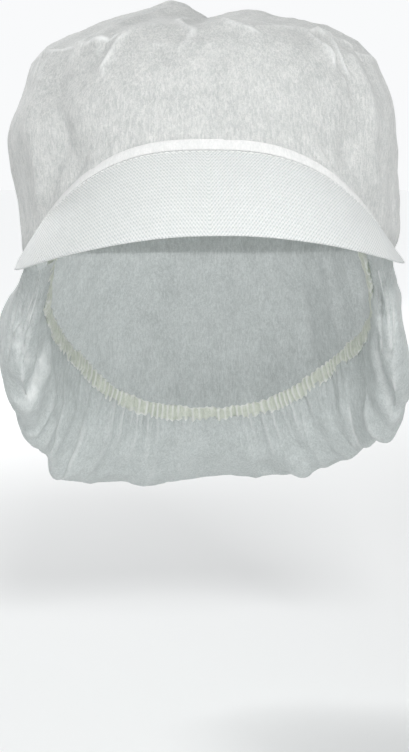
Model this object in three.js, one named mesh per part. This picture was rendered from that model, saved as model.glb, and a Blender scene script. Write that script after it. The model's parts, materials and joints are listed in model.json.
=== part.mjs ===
// Snood cap: a peaked cap of thin white nonwoven cloth with a loose hair pouch at the back, in the form
// that it takes when worn. Millimetres, +Z up, the front of the cap towards -Y, the wearer's left at +X.
// The origin is the underside of the crown, where the cap rests on the top of the head.
import * as THREE from "three";

// Driving dimensions: walls, gaps and seams.
const crownWall = 1.2; // thin cloth with its small folds
const pouchWall = 1.2;
const peakWall = 1.4; // stiffer cloth, two plies
const bindingWall = 1.2;
const clearance = 0.3; // kept between neighbouring pieces
const lapLevel = 0.05; // how far up the crown the pouch's top edge is lapped inside it

// Driving dimensions: the peak. Its free edge is half an ellipse in plan, lower at its ends.
const peakHalfWidth = 93; // the two points lie this far from peakMiddle
const peakMiddle = 1.2;
const peakReach = 107; // from the line between its points to its foremost edge
const peakPointsY = -35;
const peakFrontHeight = -99.6;
const peakEndDrop = 18.8;
const peakTilt = 1.6; // the +X end sits this much higher, and the other this much lower
const peakEndAzimuth = THREE.MathUtils.degToRad(71.5);
const peakBulge = 2.2; // crowned between its two edges
const pointFlare = 3; // the points stand off the crown
const pointDrop = 4.6;
const pointStart = 0.8; // the points begin this share of the way from the middle to the ends

// Driving dimensions: the binding over the peak's seam, and the elastic hem.
const bindingHeight = 3.8;
const bindingEndHeight = 1.4;
const bindingLift = 1.2; // its lower edge above the peak's seam
const bindingEndAzimuth = THREE.MathUtils.degToRad(58);
const elasticWidth = 8.5;
const elasticThickness = 2.4;
const elasticRoom = 0.9; // from the hem's edge back to the pouch, past the ruffles
const gatherPitch = 13; // one ruffle of the gathered hem
const gatherHeight = 0.9;

// Resolution.
const azimuthSteps = 60;
const crownLevels = 19;
const pouchSteps = 15;
const peakSteps = 40;
const peakRows = 4;
const elasticSteps = 76;
const elasticSides = 8;

// The crown by its rings, from the lower hem (level 0) to the top (level 1). Half sizes are measured from the
// origin to the middle of the wall. Each ring's height goes from endHeight at front and back to sideHeight,
// later for a larger spread. corner lowers the two front corners, and square above 2 makes the ring boxy.
const crownSections = [
  { level: 0.0, left: 90.0, right: 91.5, front: 105, back: 100, leftHeight: -117, rightHeight: -115,
    frontHeight: -63, backHeight: -118, corner: 0, spread: 2.7, square: 2.4 },
  { level: 0.1, left: 91.3, right: 93.0, front: 105, back: 103, leftHeight: -97, rightHeight: -99,
    frontHeight: -54.5, backHeight: -101, corner: 0, spread: 2.5, square: 2.4 },
  { level: 0.18, left: 92.5, right: 92.2, front: 104, back: 105, leftHeight: -85, rightHeight: -85,
    frontHeight: -48, backHeight: -88, corner: 0, spread: 2.3, square: 2.4 },
  { level: 0.26, left: 95.5, right: 91.0, front: 102.5, back: 106, leftHeight: -71, rightHeight: -71,
    frontHeight: -41.5, backHeight: -75, corner: 0, spread: 2.2, square: 2.45 },
  { level: 0.34, left: 97.0, right: 91.8, front: 100.5, back: 106, leftHeight: -59, rightHeight: -58,
    frontHeight: -34.5, backHeight: -62, corner: 0, spread: 2, square: 2.5 },
  { level: 0.42, left: 95.0, right: 91.0, front: 98, back: 104, leftHeight: -48.5, rightHeight: -47,
    frontHeight: -27, backHeight: -49, corner: 1, spread: 2, square: 2.5 },
  { level: 0.5, left: 90.0, right: 89.0, front: 94, back: 100, leftHeight: -37, rightHeight: -36.5,
    frontHeight: -19.5, backHeight: -37, corner: 2, spread: 2, square: 2.5 },
  { level: 0.58, left: 86.8, right: 84.0, front: 88.5, back: 93.5, leftHeight: -26, rightHeight: -25,
    frontHeight: -11.5, backHeight: -26, corner: 3, spread: 2, square: 2.5 },
  { level: 0.65, left: 81.0, right: 79.0, front: 80, back: 85, leftHeight: -16.5, rightHeight: -16.5,
    frontHeight: -4.8, backHeight: -17, corner: 3.6, spread: 2, square: 2.45 },
  { level: 0.73, left: 69.0, right: 70.0, front: 66, back: 72, leftHeight: -8.2, rightHeight: -8.4,
    frontHeight: -3.4, backHeight: -9, corner: 2.5, spread: 2, square: 2.35 },
  { level: 0.82, left: 52.0, right: 55.0, front: 48, back: 54, leftHeight: -1.3, rightHeight: -2.0,
    frontHeight: -1.8, backHeight: -4, corner: 1, spread: 2, square: 2.2 },
  { level: 0.9, left: 32.0, right: 34.0, front: 29, back: 34, leftHeight: 4.6, rightHeight: 1.8,
    frontHeight: -0.4, backHeight: -1, corner: 0, spread: 2, square: 2.1 },
  { level: 0.96, left: 14.5, right: 18.0, front: 13, back: 15, leftHeight: 10.0, rightHeight: 5.2,
    frontHeight: 0.4, backHeight: 0.4, corner: 0, spread: 2, square: 2 },
  { level: 1.0, left: 0, right: 0, front: 0, back: 0, leftHeight: 0.6, rightHeight: 0.6,
    frontHeight: 0.6, backHeight: 0.6, corner: 0, spread: 2, square: 2 },
];

// The crown's main folds, each along a straight line over the cloth from one azimuth and level to another.
// Azimuth is in degrees from the front, positive towards +X. rise is along the outward normal.
const crownFolds = [
  { azimuth: -38, level: 0.08, toAzimuth: -46, toLevel: 0.56, width: 8, rise: -2.6 }, // front left valley
  { azimuth: -54, level: 0.1, toAzimuth: -58, toLevel: 0.6, width: 6, rise: 2.0 },
  { azimuth: -72, level: 0.06, toAzimuth: -80, toLevel: 0.34, width: 6, rise: -2.2 },
  { azimuth: -96, level: 0.1, toAzimuth: -112, toLevel: 0.2, width: 6, rise: -2.4 },
  { azimuth: 40, level: 0.1, toAzimuth: 44, toLevel: 0.55, width: 8, rise: -2.6 }, // front right valley
  { azimuth: 55, level: 0.15, toAzimuth: 50, toLevel: 0.6, width: 6, rise: 2.2 },
  { azimuth: 74, level: 0.1, toAzimuth: 66, toLevel: 0.45, width: 6, rise: -2.0 },
  { azimuth: 98, level: 0.04, toAzimuth: 84, toLevel: 0.3, width: 6, rise: 1.8 },
  { azimuth: -30, level: 0.62, toAzimuth: -50, toLevel: 0.93, width: 6, rise: 2.6 }, // ridge on the top
  { azimuth: -4, level: 0.6, toAzimuth: -4, toLevel: 0.9, width: 8, rise: -2.4 }, // notch between the puffs
  { azimuth: 38, level: 0.6, toAzimuth: 52, toLevel: 0.9, width: 6, rise: 2.0 },
  { azimuth: 62, level: 0.5, toAzimuth: 66, toLevel: 0.84, width: 6, rise: -2.2 },
  { azimuth: 150, level: 0.1, toAzimuth: 146, toLevel: 0.6, width: 9, rise: -2.6 },
  { azimuth: 180, level: 0.1, toAzimuth: 178, toLevel: 0.5, width: 9, rise: 2.4 },
  { azimuth: -152, level: 0.1, toAzimuth: -146, toLevel: 0.6, width: 9, rise: -2.6 },
];
const foldArc = 95; // length over the cloth of one radian of azimuth
const foldRun = 195; // length over the cloth from hem to top
const crownFoldsBelow = [0.06, 0.16]; // levels between which the folds grow, above the hem
const crownFoldsAbove = [0.88, 0.96]; // and between which they fade out again, at the top

// The pouch by its sections, from the -X temple round the back to the +X temple. turn is in degrees from the
// back. Each section is a curve through stations: out is measured outwards from the crown's hem.
const pouchSections = [
  { turn: -114, shoulderOut: -1.2, shoulderHeight: -113, bellyOut: -1.6, bellyHeight: -117, lowOut: -2.6,
    lowHeight: -119.5, bottomOut: -4, bottomHeight: -120.5, innerOut: -5.5, innerHeight: -119.5, rimOut: -11,
    rimHeight: -112 },
  { turn: -101, shoulderOut: 3, shoulderHeight: -124, bellyOut: 8.5, bellyHeight: -138, lowOut: 8,
    lowHeight: -157, bottomOut: 1, bottomHeight: -168, innerOut: -8, innerHeight: -158, rimOut: -11,
    rimHeight: -138 },
  { turn: -88, shoulderOut: 6, shoulderHeight: -133, bellyOut: 13.5, bellyHeight: -157, lowOut: 9.5,
    lowHeight: -184, bottomOut: -1, bottomHeight: -198, innerOut: -11, innerHeight: -182, rimOut: -14,
    rimHeight: -154 },
  { turn: -66, shoulderOut: 6, shoulderHeight: -137, bellyOut: 12, bellyHeight: -166, lowOut: 7.5,
    lowHeight: -201, bottomOut: -1, bottomHeight: -225, innerOut: -14, innerHeight: -206, rimOut: -20,
    rimHeight: -174 },
  { turn: -46, shoulderOut: 5, shoulderHeight: -138, bellyOut: 14, bellyHeight: -170, lowOut: 17,
    lowHeight: -210, bottomOut: 7, bottomHeight: -241, innerOut: -17, innerHeight: -223, rimOut: -28,
    rimHeight: -192 },
  { turn: 0, shoulderOut: 6, shoulderHeight: -138, bellyOut: 17, bellyHeight: -172, lowOut: 19,
    lowHeight: -210, bottomOut: 3, bottomHeight: -243, innerOut: -18, innerHeight: -229, rimOut: -33,
    rimHeight: -202 },
  { turn: 40, shoulderOut: 5, shoulderHeight: -138, bellyOut: 13, bellyHeight: -170, lowOut: 13,
    lowHeight: -205, bottomOut: 0, bottomHeight: -234, innerOut: -18, innerHeight: -220, rimOut: -29,
    rimHeight: -192 },
  { turn: 66, shoulderOut: 4, shoulderHeight: -136, bellyOut: 9, bellyHeight: -165, lowOut: 10,
    lowHeight: -198, bottomOut: -1, bottomHeight: -218, innerOut: -14, innerHeight: -202, rimOut: -19,
    rimHeight: -173 },
  { turn: 88, shoulderOut: 2.5, shoulderHeight: -131, bellyOut: 5.5, bellyHeight: -155, lowOut: 10,
    lowHeight: -182, bottomOut: 2, bottomHeight: -197, innerOut: -7, innerHeight: -180, rimOut: -10,
    rimHeight: -152 },
  { turn: 101, shoulderOut: 1.5, shoulderHeight: -122, bellyOut: 2.5, bellyHeight: -134, lowOut: 4,
    lowHeight: -149, bottomOut: 0, bottomHeight: -159, innerOut: -7, innerHeight: -150, rimOut: -9.5,
    rimHeight: -135 },
  { turn: 114, shoulderOut: -1.2, shoulderHeight: -113, bellyOut: -1.6, bellyHeight: -117, lowOut: -2.6,
    lowHeight: -119.5, bottomOut: -4, bottomHeight: -120.5, innerOut: -5.5, innerHeight: -119.5, rimOut: -11,
    rimHeight: -112 },
];
const pouchTurn = 114; // its columns then stand on the crown's own
const pouchStations = ["shoulder", "belly", "low", "bottom", "inner"];

// The pouch's main folds: hanging pleats, by turn and share of the way from crown to rim.
const pouchFolds = [
  { turn: -93, share: 0.2, toTurn: -88, toShare: 0.6, width: 5, rise: -2.0 },
  { turn: -74, share: 0.25, toTurn: -78, toShare: 0.75, width: 6, rise: -3.2 },
  { turn: -50, share: 0.1, toTurn: -54, toShare: 0.7, width: 7, rise: -2.6 },
  { turn: -22, share: 0.1, toTurn: -18, toShare: 0.8, width: 8, rise: -2.6 },
  { turn: 8, share: 0.1, toTurn: 4, toShare: 0.7, width: 8, rise: 2.4 },
  { turn: 28, share: 0.15, toTurn: 32, toShare: 0.8, width: 7, rise: -2.8 },
  { turn: 54, share: 0.1, toTurn: 52, toShare: 0.65, width: 7, rise: -2.6 },
  { turn: 76, share: 0.2, toTurn: 80, toShare: 0.75, width: 6, rise: -3.0 },
  { turn: 95, share: 0.25, toTurn: 90, toShare: 0.6, width: 5, rise: -2.0 },
];
const pouchArc = 100; // length over the cloth of one radian of turn
const pouchRun = 150; // length over the cloth from crown to rim
const pouchFoldsBelow = [0.12, 0.3]; // shares between which the pleats grow, past the lapped edge
const pouchFoldsAbove = [0.75, 0.95]; // and between which they fade out again, at the rim

// Every column of a table at a place between its rows, on a smooth curve through them.
function rowAt(rows, key, at) {
  let i = 0;
  while (i < rows.length - 2 && rows[i + 1][key] < at) i += 1;
  const span = rows[i + 1][key] - rows[i][key];
  const t = THREE.MathUtils.clamp((at - rows[i][key]) / span, 0, 1);
  const slope = (j, column) => {
    const before = rows[Math.max(j - 1, 0)];
    const after = rows[Math.min(j + 1, rows.length - 1)];
    return ((after[column] - before[column]) / (after[key] - before[key])) * span;
  };
  const made = {};
  for (const column of Object.keys(rows[i])) {
    const [from, to] = [rows[i][column], rows[i + 1][column]];
    const rise = to - from;
    const [a, b] = [slope(i, column), slope(i + 1, column)];
    made[column] = from + a * t + (3 * rise - 2 * a - b) * t * t + (a + b - 2 * rise) * t * t * t;
  }
  return made;
}

// How much of a fold is left at a place, which grows over one span and fades over another.
function foldFade(at, [start, full], [from, none]) {
  return THREE.MathUtils.smoothstep(at, start, full) * (1 - THREE.MathUtils.smoothstep(at, from, none));
}

// The height of a set of folds at one place, with places and folds given as points on the flat cloth.
function foldHeight(folds, at) {
  let height = 0;
  for (const fold of folds) {
    const nearest = new THREE.Vector3();
    fold.line.closestPointToPoint(at, true, nearest);
    const away = nearest.distanceTo(at) / fold.width;
    height += fold.rise * Math.exp(-away * away);
  }
  return height;
}

const onCrown = (azimuth, level) => new THREE.Vector3(azimuth * foldArc, level * foldRun, 0);
const onPouch = (turn, share) => new THREE.Vector3(turn * pouchArc, share * pouchRun, 0);
const rad = THREE.MathUtils.degToRad;

const crownFoldLines = crownFolds.map((fold) => ({
  width: fold.width,
  rise: fold.rise,
  line: new THREE.Line3(onCrown(rad(fold.azimuth), fold.level), onCrown(rad(fold.toAzimuth), fold.toLevel)),
}));

const pouchFoldLines = pouchFolds.map((fold) => ({
  width: fold.width,
  rise: fold.rise,
  line: new THREE.Line3(onPouch(rad(fold.turn), fold.share), onPouch(rad(fold.toTurn), fold.toShare)),
}));

// The middle of the crown's wall at an azimuth from the front, in radians, and a level.
function crownPoint(azimuth, level) {
  const row = rowAt(crownSections, "level", level);
  const [side, ahead] = [Math.sin(azimuth), Math.cos(azimuth)];
  const bend = 2 / row.square;
  const across = Math.abs(side) ** bend;
  const along = Math.abs(ahead) ** bend;
  const share = across ** row.spread;
  const sideHeight = side < 0 ? row.leftHeight : row.rightHeight;
  const endHeight = ahead > 0 ? row.frontHeight : row.backHeight;
  const corner = ahead > 0 ? row.corner * (2 * side * ahead) ** 2 : 0;
  return new THREE.Vector3(
    Math.sign(side) * (side < 0 ? row.left : row.right) * across,
    -Math.sign(ahead) * (ahead > 0 ? row.front : row.back) * along,
    sideHeight * share + endHeight * (1 - share) - corner,
  );
}

// The middle of the crown's wall at an azimuth and a height near its hem, found by halving a span of levels.
const searchedLevels = [0, 0.3];
const halvings = 20;
function crownAtHeight(azimuth, height) {
  let [low, high] = searchedLevels;
  for (let i = 0; i < halvings; i += 1) {
    const middle = (low + high) / 2;
    if (crownPoint(azimuth, middle).z < height) low = middle;
    else high = middle;
  }
  return crownPoint(azimuth, low);
}

// The crown's hem seen from above: the way outwards from the cloth, level with the ground.
const azimuthStep = 0.01; // between the two places that give the hem's direction
function hemOutward(azimuth) {
  const along = crownPoint(azimuth + azimuthStep, 0).sub(crownPoint(azimuth - azimuthStep, 0));
  return new THREE.Vector3(along.y, -along.x, 0).normalize();
}

// A grid of points in rows; the grid closes on itself across when each row ends where it starts.
function grid(rows, columns, point) {
  const made = [];
  for (let i = 0; i <= rows; i += 1) {
    const line = [];
    for (let j = 0; j <= columns; j += 1) line.push(point(i / rows, j / columns));
    made.push(line);
  }
  return made;
}

// The unit normals of a grid, from the points beside each point.
function gridNormals(points, closed) {
  const lastRow = points.length - 1;
  const lastColumn = points[0].length - 1;
  return points.map((line, i) =>
    line.map((_, j) => {
      const up = points[Math.min(i + 1, lastRow)][j].clone().sub(points[Math.max(i - 1, 0)][j]);
      const before = closed && j === 0 ? lastColumn - 1 : Math.max(j - 1, 0);
      const after = closed && j === lastColumn ? 1 : Math.min(j + 1, lastColumn);
      const across = line[after].clone().sub(line[before]);
      return across.cross(up).normalize();
    }),
  );
}

// A grid moved along its own normals by a height for each point.
function displaced(points, closed, height) {
  const normals = gridNormals(points, closed);
  return points.map((line, i) =>
    line.map((p, j) => p.clone().addScaledVector(normals[i][j], height(i, j))),
  );
}

// A closed solid from its vertices and faces.
function solid(vertices, faces) {
  const geometry = new THREE.BufferGeometry();
  const numbers = vertices.flatMap((vertex) => vertex.toArray());
  geometry.setAttribute("position", new THREE.Float32BufferAttribute(numbers, 3));
  geometry.setIndex(faces.flat());
  geometry.computeVertexNormals();
  return geometry;
}

// The solid wall on both sides of a grid. A closed grid is a ring, and apex closes its last row.
function wallSolid(points, wall, { closed = false, apex = null } = {}) {
  const normals = gridNormals(points, closed);
  const rows = points.length;
  const columns = points[0].length - (closed ? 1 : 0);
  const vertices = [];
  for (const side of [0.5, -0.5]) {
    points.forEach((line, i) =>
      line.slice(0, columns).forEach((p, j) => {
        vertices.push(p.clone().addScaledVector(normals[i][j], side * wall));
      }),
    );
  }
  const skin = rows * columns;
  const at = (i, j, inner) => i * columns + (j % columns) + (inner ? skin : 0);
  const faces = [];
  const quad = (a, b, c, d) => faces.push([a, b, c], [a, c, d]);
  const lastSpan = closed ? columns : columns - 1;
  for (let i = 0; i < rows - 1; i += 1) {
    for (let j = 0; j < lastSpan; j += 1) {
      quad(at(i, j), at(i, j + 1), at(i + 1, j + 1), at(i + 1, j));
      quad(at(i, j, true), at(i + 1, j, true), at(i + 1, j + 1, true), at(i, j + 1, true));
    }
  }
  for (let j = 0; j < lastSpan; j += 1) {
    quad(at(0, j, true), at(0, j + 1, true), at(0, j + 1), at(0, j));
    if (!apex) quad(at(rows - 1, j), at(rows - 1, j + 1), at(rows - 1, j + 1, true), at(rows - 1, j, true));
  }
  if (!closed) {
    for (let i = 0; i < rows - 1; i += 1) {
      quad(at(i, 0), at(i + 1, 0), at(i + 1, 0, true), at(i, 0, true));
      const j = columns - 1;
      quad(at(i, j), at(i, j, true), at(i + 1, j, true), at(i + 1, j));
    }
  }
  if (apex) {
    for (const inner of [false, true]) {
      const tip = vertices.length;
      vertices.push(new THREE.Vector3(apex.x, apex.y, apex.z + (inner ? -0.5 : 0.5) * wall));
      for (let j = 0; j < columns; j += 1) {
        const [a, b] = [at(rows - 1, j, inner), at(rows - 1, j + 1, inner)];
        faces.push(inner ? [b, a, tip] : [a, b, tip]);
      }
    }
  }
  return solid(vertices, faces);
}

// The crown.
const topShare = 0.96; // the last ring before the top's middle point
function crownGeometry() {
  const level = (v) => v * topShare;
  const azimuth = (u) => (u * 2 - 1) * Math.PI;
  const smooth = grid(crownLevels, azimuthSteps, (v, u) => crownPoint(azimuth(u), level(v)));
  const folded = displaced(smooth, true, (i, j) => {
    const at = [azimuth(j / azimuthSteps), level(i / crownLevels)];
    const turns = [-2, 0, 2].map((n) => foldHeight(crownFoldLines, onCrown(at[0] + n * Math.PI, at[1])));
    return (turns[0] + turns[1] + turns[2]) * foldFade(at[1], crownFoldsBelow, crownFoldsAbove);
  });
  return wallSolid(folded, crownWall, { closed: true, apex: crownPoint(0, 1) });
}

// The middle of the pouch's wall: a curve from inside the crown's hem out, down and in again to the rim.
const lapOffset = -(crownWall / 2 + clearance + pouchWall / 2);
const neckDrop = 3; // the cloth stays inside the hem for this far below it
function pouchCurve(turn) {
  const row = rowAt(pouchSections, "turn", THREE.MathUtils.radToDeg(turn));
  const azimuth = Math.PI - turn;
  const hem = crownPoint(azimuth, 0);
  const outward = hemOutward(azimuth);
  const station = (out, height) => new THREE.Vector3(hem.x, hem.y, height).addScaledVector(outward, out);
  const stations = [station(lapOffset, hem.z), station(lapOffset, hem.z - neckDrop)];
  for (const name of pouchStations) stations.push(station(row[name + "Out"], row[name + "Height"]));
  const rim = station(row.rimOut, row.rimHeight);
  const inner = stations[stations.length - 1];
  const inward = rim.clone().sub(inner).normalize();
  stations.push(rim.clone().addScaledVector(inward, -(elasticWidth / 2 + elasticRoom)));
  return { curve: new THREE.CatmullRomCurve3(stations, false, "centripetal"), rim, inward };
}

function pouchGeometry() {
  const columns = Math.round((azimuthSteps * pouchTurn) / 180);
  const turn = (u) => -rad((u * 2 - 1) * pouchTurn);
  const smooth = grid(pouchSteps, columns, (v, u) => {
    if (v === 0) {
      const azimuth = Math.PI - turn(u);
      return crownPoint(azimuth, lapLevel).addScaledVector(hemOutward(azimuth), lapOffset);
    }
    const share = (v * pouchSteps - 1) / (pouchSteps - 1);
    return pouchCurve(turn(u)).curve.getPointAt(share);
  });
  const folded = displaced(smooth, false, (i, j) => {
    const [share, at] = [i / pouchSteps, turn(j / columns)];
    const fade = foldFade(share, pouchFoldsBelow, pouchFoldsAbove);
    return -foldHeight(pouchFoldLines, onPouch(at, share)) * fade;
  });
  return wallSolid(folded, pouchWall);
}

// The elastic hem: a gathered flat band along the pouch's rim.
function elasticGeometry() {
  const rimAt = (u) => pouchCurve(rad((u * 2 - 1) * pouchTurn));
  const rings = [];
  let travelled = 0;
  let last = null;
  for (let k = 0; k <= elasticSteps; k += 1) {
    const { rim, inward } = rimAt(k / elasticSteps);
    const next = rimAt(Math.min(k + 1, elasticSteps) / elasticSteps).rim;
    const previous = rimAt(Math.max(k - 1, 0) / elasticSteps).rim;
    const across = next.clone().sub(previous).cross(inward).normalize();
    if (last) travelled += rim.distanceTo(last);
    last = rim;
    const ruffle = gatherHeight * Math.sin((travelled / gatherPitch) * 2 * Math.PI);
    const ring = [];
    for (let s = 0; s < elasticSides; s += 1) {
      const angle = (s / elasticSides) * 2 * Math.PI;
      const wave = ruffle * (0.5 + 0.5 * Math.cos(angle)); // strongest at the free edge
      const point = rim.clone().addScaledVector(inward, (elasticWidth / 2) * Math.cos(angle));
      ring.push(point.addScaledVector(across, (elasticThickness / 2) * Math.sin(angle) + wave));
    }
    rings.push(ring);
  }
  const vertices = rings.flat();
  const at = (k, s) => k * elasticSides + (s % elasticSides);
  const faces = [];
  for (let k = 0; k < elasticSteps; k += 1) {
    for (let s = 0; s < elasticSides; s += 1) {
      faces.push([at(k, s), at(k, s + 1), at(k + 1, s + 1)], [at(k, s), at(k + 1, s + 1), at(k + 1, s)]);
    }
  }
  for (let s = 1; s < elasticSides - 1; s += 1) {
    faces.push([at(0, 0), at(0, s + 1), at(0, s)]);
    faces.push([at(elasticSteps, 0), at(elasticSteps, s), at(elasticSteps, s + 1)]);
  }
  return solid(vertices, faces);
}

// The peak: ruled from its seam on the crown's hem to its free edge, and slightly crowned.
function peakPoint(along, down) {
  const side = along * 2 - 1;
  const azimuth = side * peakEndAzimuth;
  const end = THREE.MathUtils.smoothstep(Math.abs(side), pointStart, 1);
  const offset = crownWall / 2 + clearance + peakWall / 2 + pointFlare * end;
  const seam = crownPoint(azimuth, 0).addScaledVector(hemOutward(azimuth), offset);
  seam.z -= pointDrop * end;
  const swing = (side * Math.PI) / 2;
  const edge = new THREE.Vector3(
    peakMiddle + peakHalfWidth * Math.sin(swing),
    peakPointsY - peakReach * Math.cos(swing),
    peakFrontHeight - peakEndDrop * Math.sin(swing) ** 2 + peakTilt * Math.sin(swing),
  );
  const bulge = 4 * down * (1 - down) * peakBulge * Math.cos(swing);
  const outward = hemOutward(azimuth).add(new THREE.Vector3(0, 0, 1)).normalize();
  return seam.lerp(edge, down).addScaledVector(outward, bulge);
}

function peakGeometry() {
  const points = grid(peakRows, peakSteps, (v, u) => peakPoint(1 - u, v));
  return wallSolid(points, peakWall);
}

// The binding: a narrow folded band on the crown, just above the peak's seam.
function bindingGeometry() {
  const rows = 2;
  const offset = crownWall / 2 + clearance + bindingWall / 2;
  const points = grid(rows, peakSteps, (v, u) => {
    const side = 1 - 2 * u;
    const azimuth = side * bindingEndAzimuth;
    const height = bindingEndHeight + (bindingHeight - bindingEndHeight) * Math.cos((side * Math.PI) / 2);
    const above = crownPoint(azimuth, 0).z + bindingLift + height * (1 - v);
    return crownAtHeight(azimuth, above).addScaledVector(hemOutward(azimuth), offset);
  });
  return wallSolid(points, bindingWall);
}

function cloth(color, roughness) {
  return new THREE.MeshStandardMaterial({ color, roughness, metalness: 0, side: THREE.DoubleSide });
}

function piece(name, geometry, material) {
  const mesh = new THREE.Mesh(geometry, material);
  mesh.name = name;
  return mesh;
}

const cap = new THREE.Group();
cap.add(
  piece("crown", crownGeometry(), cloth(0xdfe4e2, 0.9)),
  piece("peak", peakGeometry(), cloth(0xe9eeec, 0.85)),
  piece("peak_binding", bindingGeometry(), cloth(0xeef2f0, 0.85)),
  piece("snood", pouchGeometry(), cloth(0xd5dcd8, 0.75)),
  piece("snood_elastic", elasticGeometry(), cloth(0xdbe1de, 0.85)),
);

export default cap;
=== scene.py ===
"""Looks of a snood cap: a peaked cap of thin white nonwoven cloth with a loose hair pouch at the back.

Sizes are in millimetres in the tables and in metres in Blender. +Z is up, the front of the cap is towards
-Y, and the origin is the underside of the crown. The frame holds the sizes, and this script the cloth.
"""

import json
import logging
import math
from dataclasses import dataclass
from enum import Enum

import bpy
import numpy as np
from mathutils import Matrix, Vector

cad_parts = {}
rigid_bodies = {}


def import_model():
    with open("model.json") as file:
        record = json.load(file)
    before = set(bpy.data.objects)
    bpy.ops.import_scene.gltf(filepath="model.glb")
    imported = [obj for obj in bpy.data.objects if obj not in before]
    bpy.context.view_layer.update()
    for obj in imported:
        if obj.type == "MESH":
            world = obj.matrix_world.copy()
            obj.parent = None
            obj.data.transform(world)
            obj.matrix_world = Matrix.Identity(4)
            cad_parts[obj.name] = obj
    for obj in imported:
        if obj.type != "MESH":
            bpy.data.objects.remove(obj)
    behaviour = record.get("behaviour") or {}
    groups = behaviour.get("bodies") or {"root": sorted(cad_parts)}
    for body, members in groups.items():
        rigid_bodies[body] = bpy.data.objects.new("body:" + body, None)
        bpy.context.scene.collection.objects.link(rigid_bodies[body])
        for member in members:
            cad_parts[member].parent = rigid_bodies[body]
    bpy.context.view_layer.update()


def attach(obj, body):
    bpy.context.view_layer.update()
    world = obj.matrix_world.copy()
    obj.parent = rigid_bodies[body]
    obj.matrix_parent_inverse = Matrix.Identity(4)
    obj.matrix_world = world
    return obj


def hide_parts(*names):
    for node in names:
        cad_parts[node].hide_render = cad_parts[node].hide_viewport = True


MM = 0.001
LOG = logging.getLogger("snood_cap")

# The paper-white backdrop, and the painted highlight on the crests of creases in the web.
BACKDROP = "F9FAFB"
CREST_HIGHLIGHT = "FCFDFC"


def linear(colour: str) -> tuple[float, float, float, float]:
    """Turns an sRGB hex colour to linear.

    Args:
        colour: Six hex digits.

    Returns:
        Red, green, blue and an alpha of one.
    """
    parts = [int(colour[i : i + 2], 16) / 255 for i in (0, 2, 4)]
    made = [p / 12.92 if p <= 0.04045 else ((p + 0.055) / 1.055) ** 2.4 for p in parts]
    return (made[0], made[1], made[2], 1.0)


def smoothstep(value: np.ndarray, start: float, end: float) -> np.ndarray:
    """Rises smoothly from 0 at start to 1 at end.

    Args:
        value: Where to read it.
        start: The last place with 0.
        end: The first place with 1.

    Returns:
        A number from 0 to 1 for each value.
    """
    t = np.clip((value - start) / (end - start), 0, 1)
    return t * t * (3 - 2 * t)


def way_along(points: np.ndarray, axis: int = 0) -> np.ndarray:
    """Measures lines of points.

    Args:
        points: Points, three numbers each.
        axis: The axis that the lines run along.

    Returns:
        The length from the start of its line to each point.
    """
    steps = np.linalg.norm(np.diff(points, axis=axis), axis=-1)
    start = np.zeros_like(np.take(steps, [0], axis=axis))
    return np.concatenate([start, np.cumsum(steps, axis=axis)], axis=axis)


def vectors(source: bpy.types.bpy_prop_collection, field: str) -> np.ndarray:
    """Reads three numbers from each item of a Blender collection.

    Args:
        source: The collection.
        field: The numbers' name.

    Returns:
        Three numbers for each item.
    """
    held = np.empty(len(source) * 3)
    source.foreach_get(field, held)
    return held.reshape(-1, 3)


class ClothNoise:
    """Smooth noise on a seeded lattice of slopes, the same in each run."""

    PERIOD = 32

    def __init__(self, seed: int) -> None:
        """Draws the lattice.

        Args:
            seed: Picks the lattice.
        """
        slopes = np.random.default_rng(seed).normal(size=(self.PERIOD,) * 3 + (3,))
        self.slopes = slopes / np.linalg.norm(slopes, axis=-1, keepdims=True)

    def at(self, places: np.ndarray) -> np.ndarray:
        """Reads the noise.

        Args:
            places: Points in lattice cells, three numbers each.

        Returns:
            About -0.7 to 0.7 for each point.
        """
        cell = np.floor(places).astype(int)
        inside = places - cell
        blend = inside * inside * inside * (inside * (inside * 6 - 15) + 10)
        total = np.zeros(places.shape[:-1])
        for corner in np.ndindex(2, 2, 2):
            index = (cell + corner) % self.PERIOD
            slope = self.slopes[index[..., 0], index[..., 1], index[..., 2]]
            share = np.where(np.array(corner) == 1, blend, 1 - blend).prod(axis=-1)
            total += share * (slope * (inside - corner)).sum(axis=-1)
        return total

    def flat(self, across: np.ndarray, along: np.ndarray, layer: float = 0.0) -> np.ndarray:
        """Reads the noise on a flat sheet.

        Args:
            across: Place across the sheet, in cells.
            along: Place along the sheet, in cells.
            layer: Picks one sheet of the lattice.

        Returns:
            About -0.7 to 0.7 for each place.
        """
        return self.at(np.stack([across, along, np.full_like(across, layer + 0.37)], axis=-1))

    def ridged(self, places: np.ndarray, roundness: float = 0.06) -> np.ndarray:
        """Noise with narrow crests, as a crease in thin cloth has.

        Args:
            places: Points in lattice cells, three numbers each.
            roundness: How blunt the crests are.

        Returns:
            About -0.6 to 0.4 for each point, highest on the crests.
        """
        return 0.4 - 1.6 * np.sqrt(self.at(places) ** 2 + roundness**2)


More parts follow.
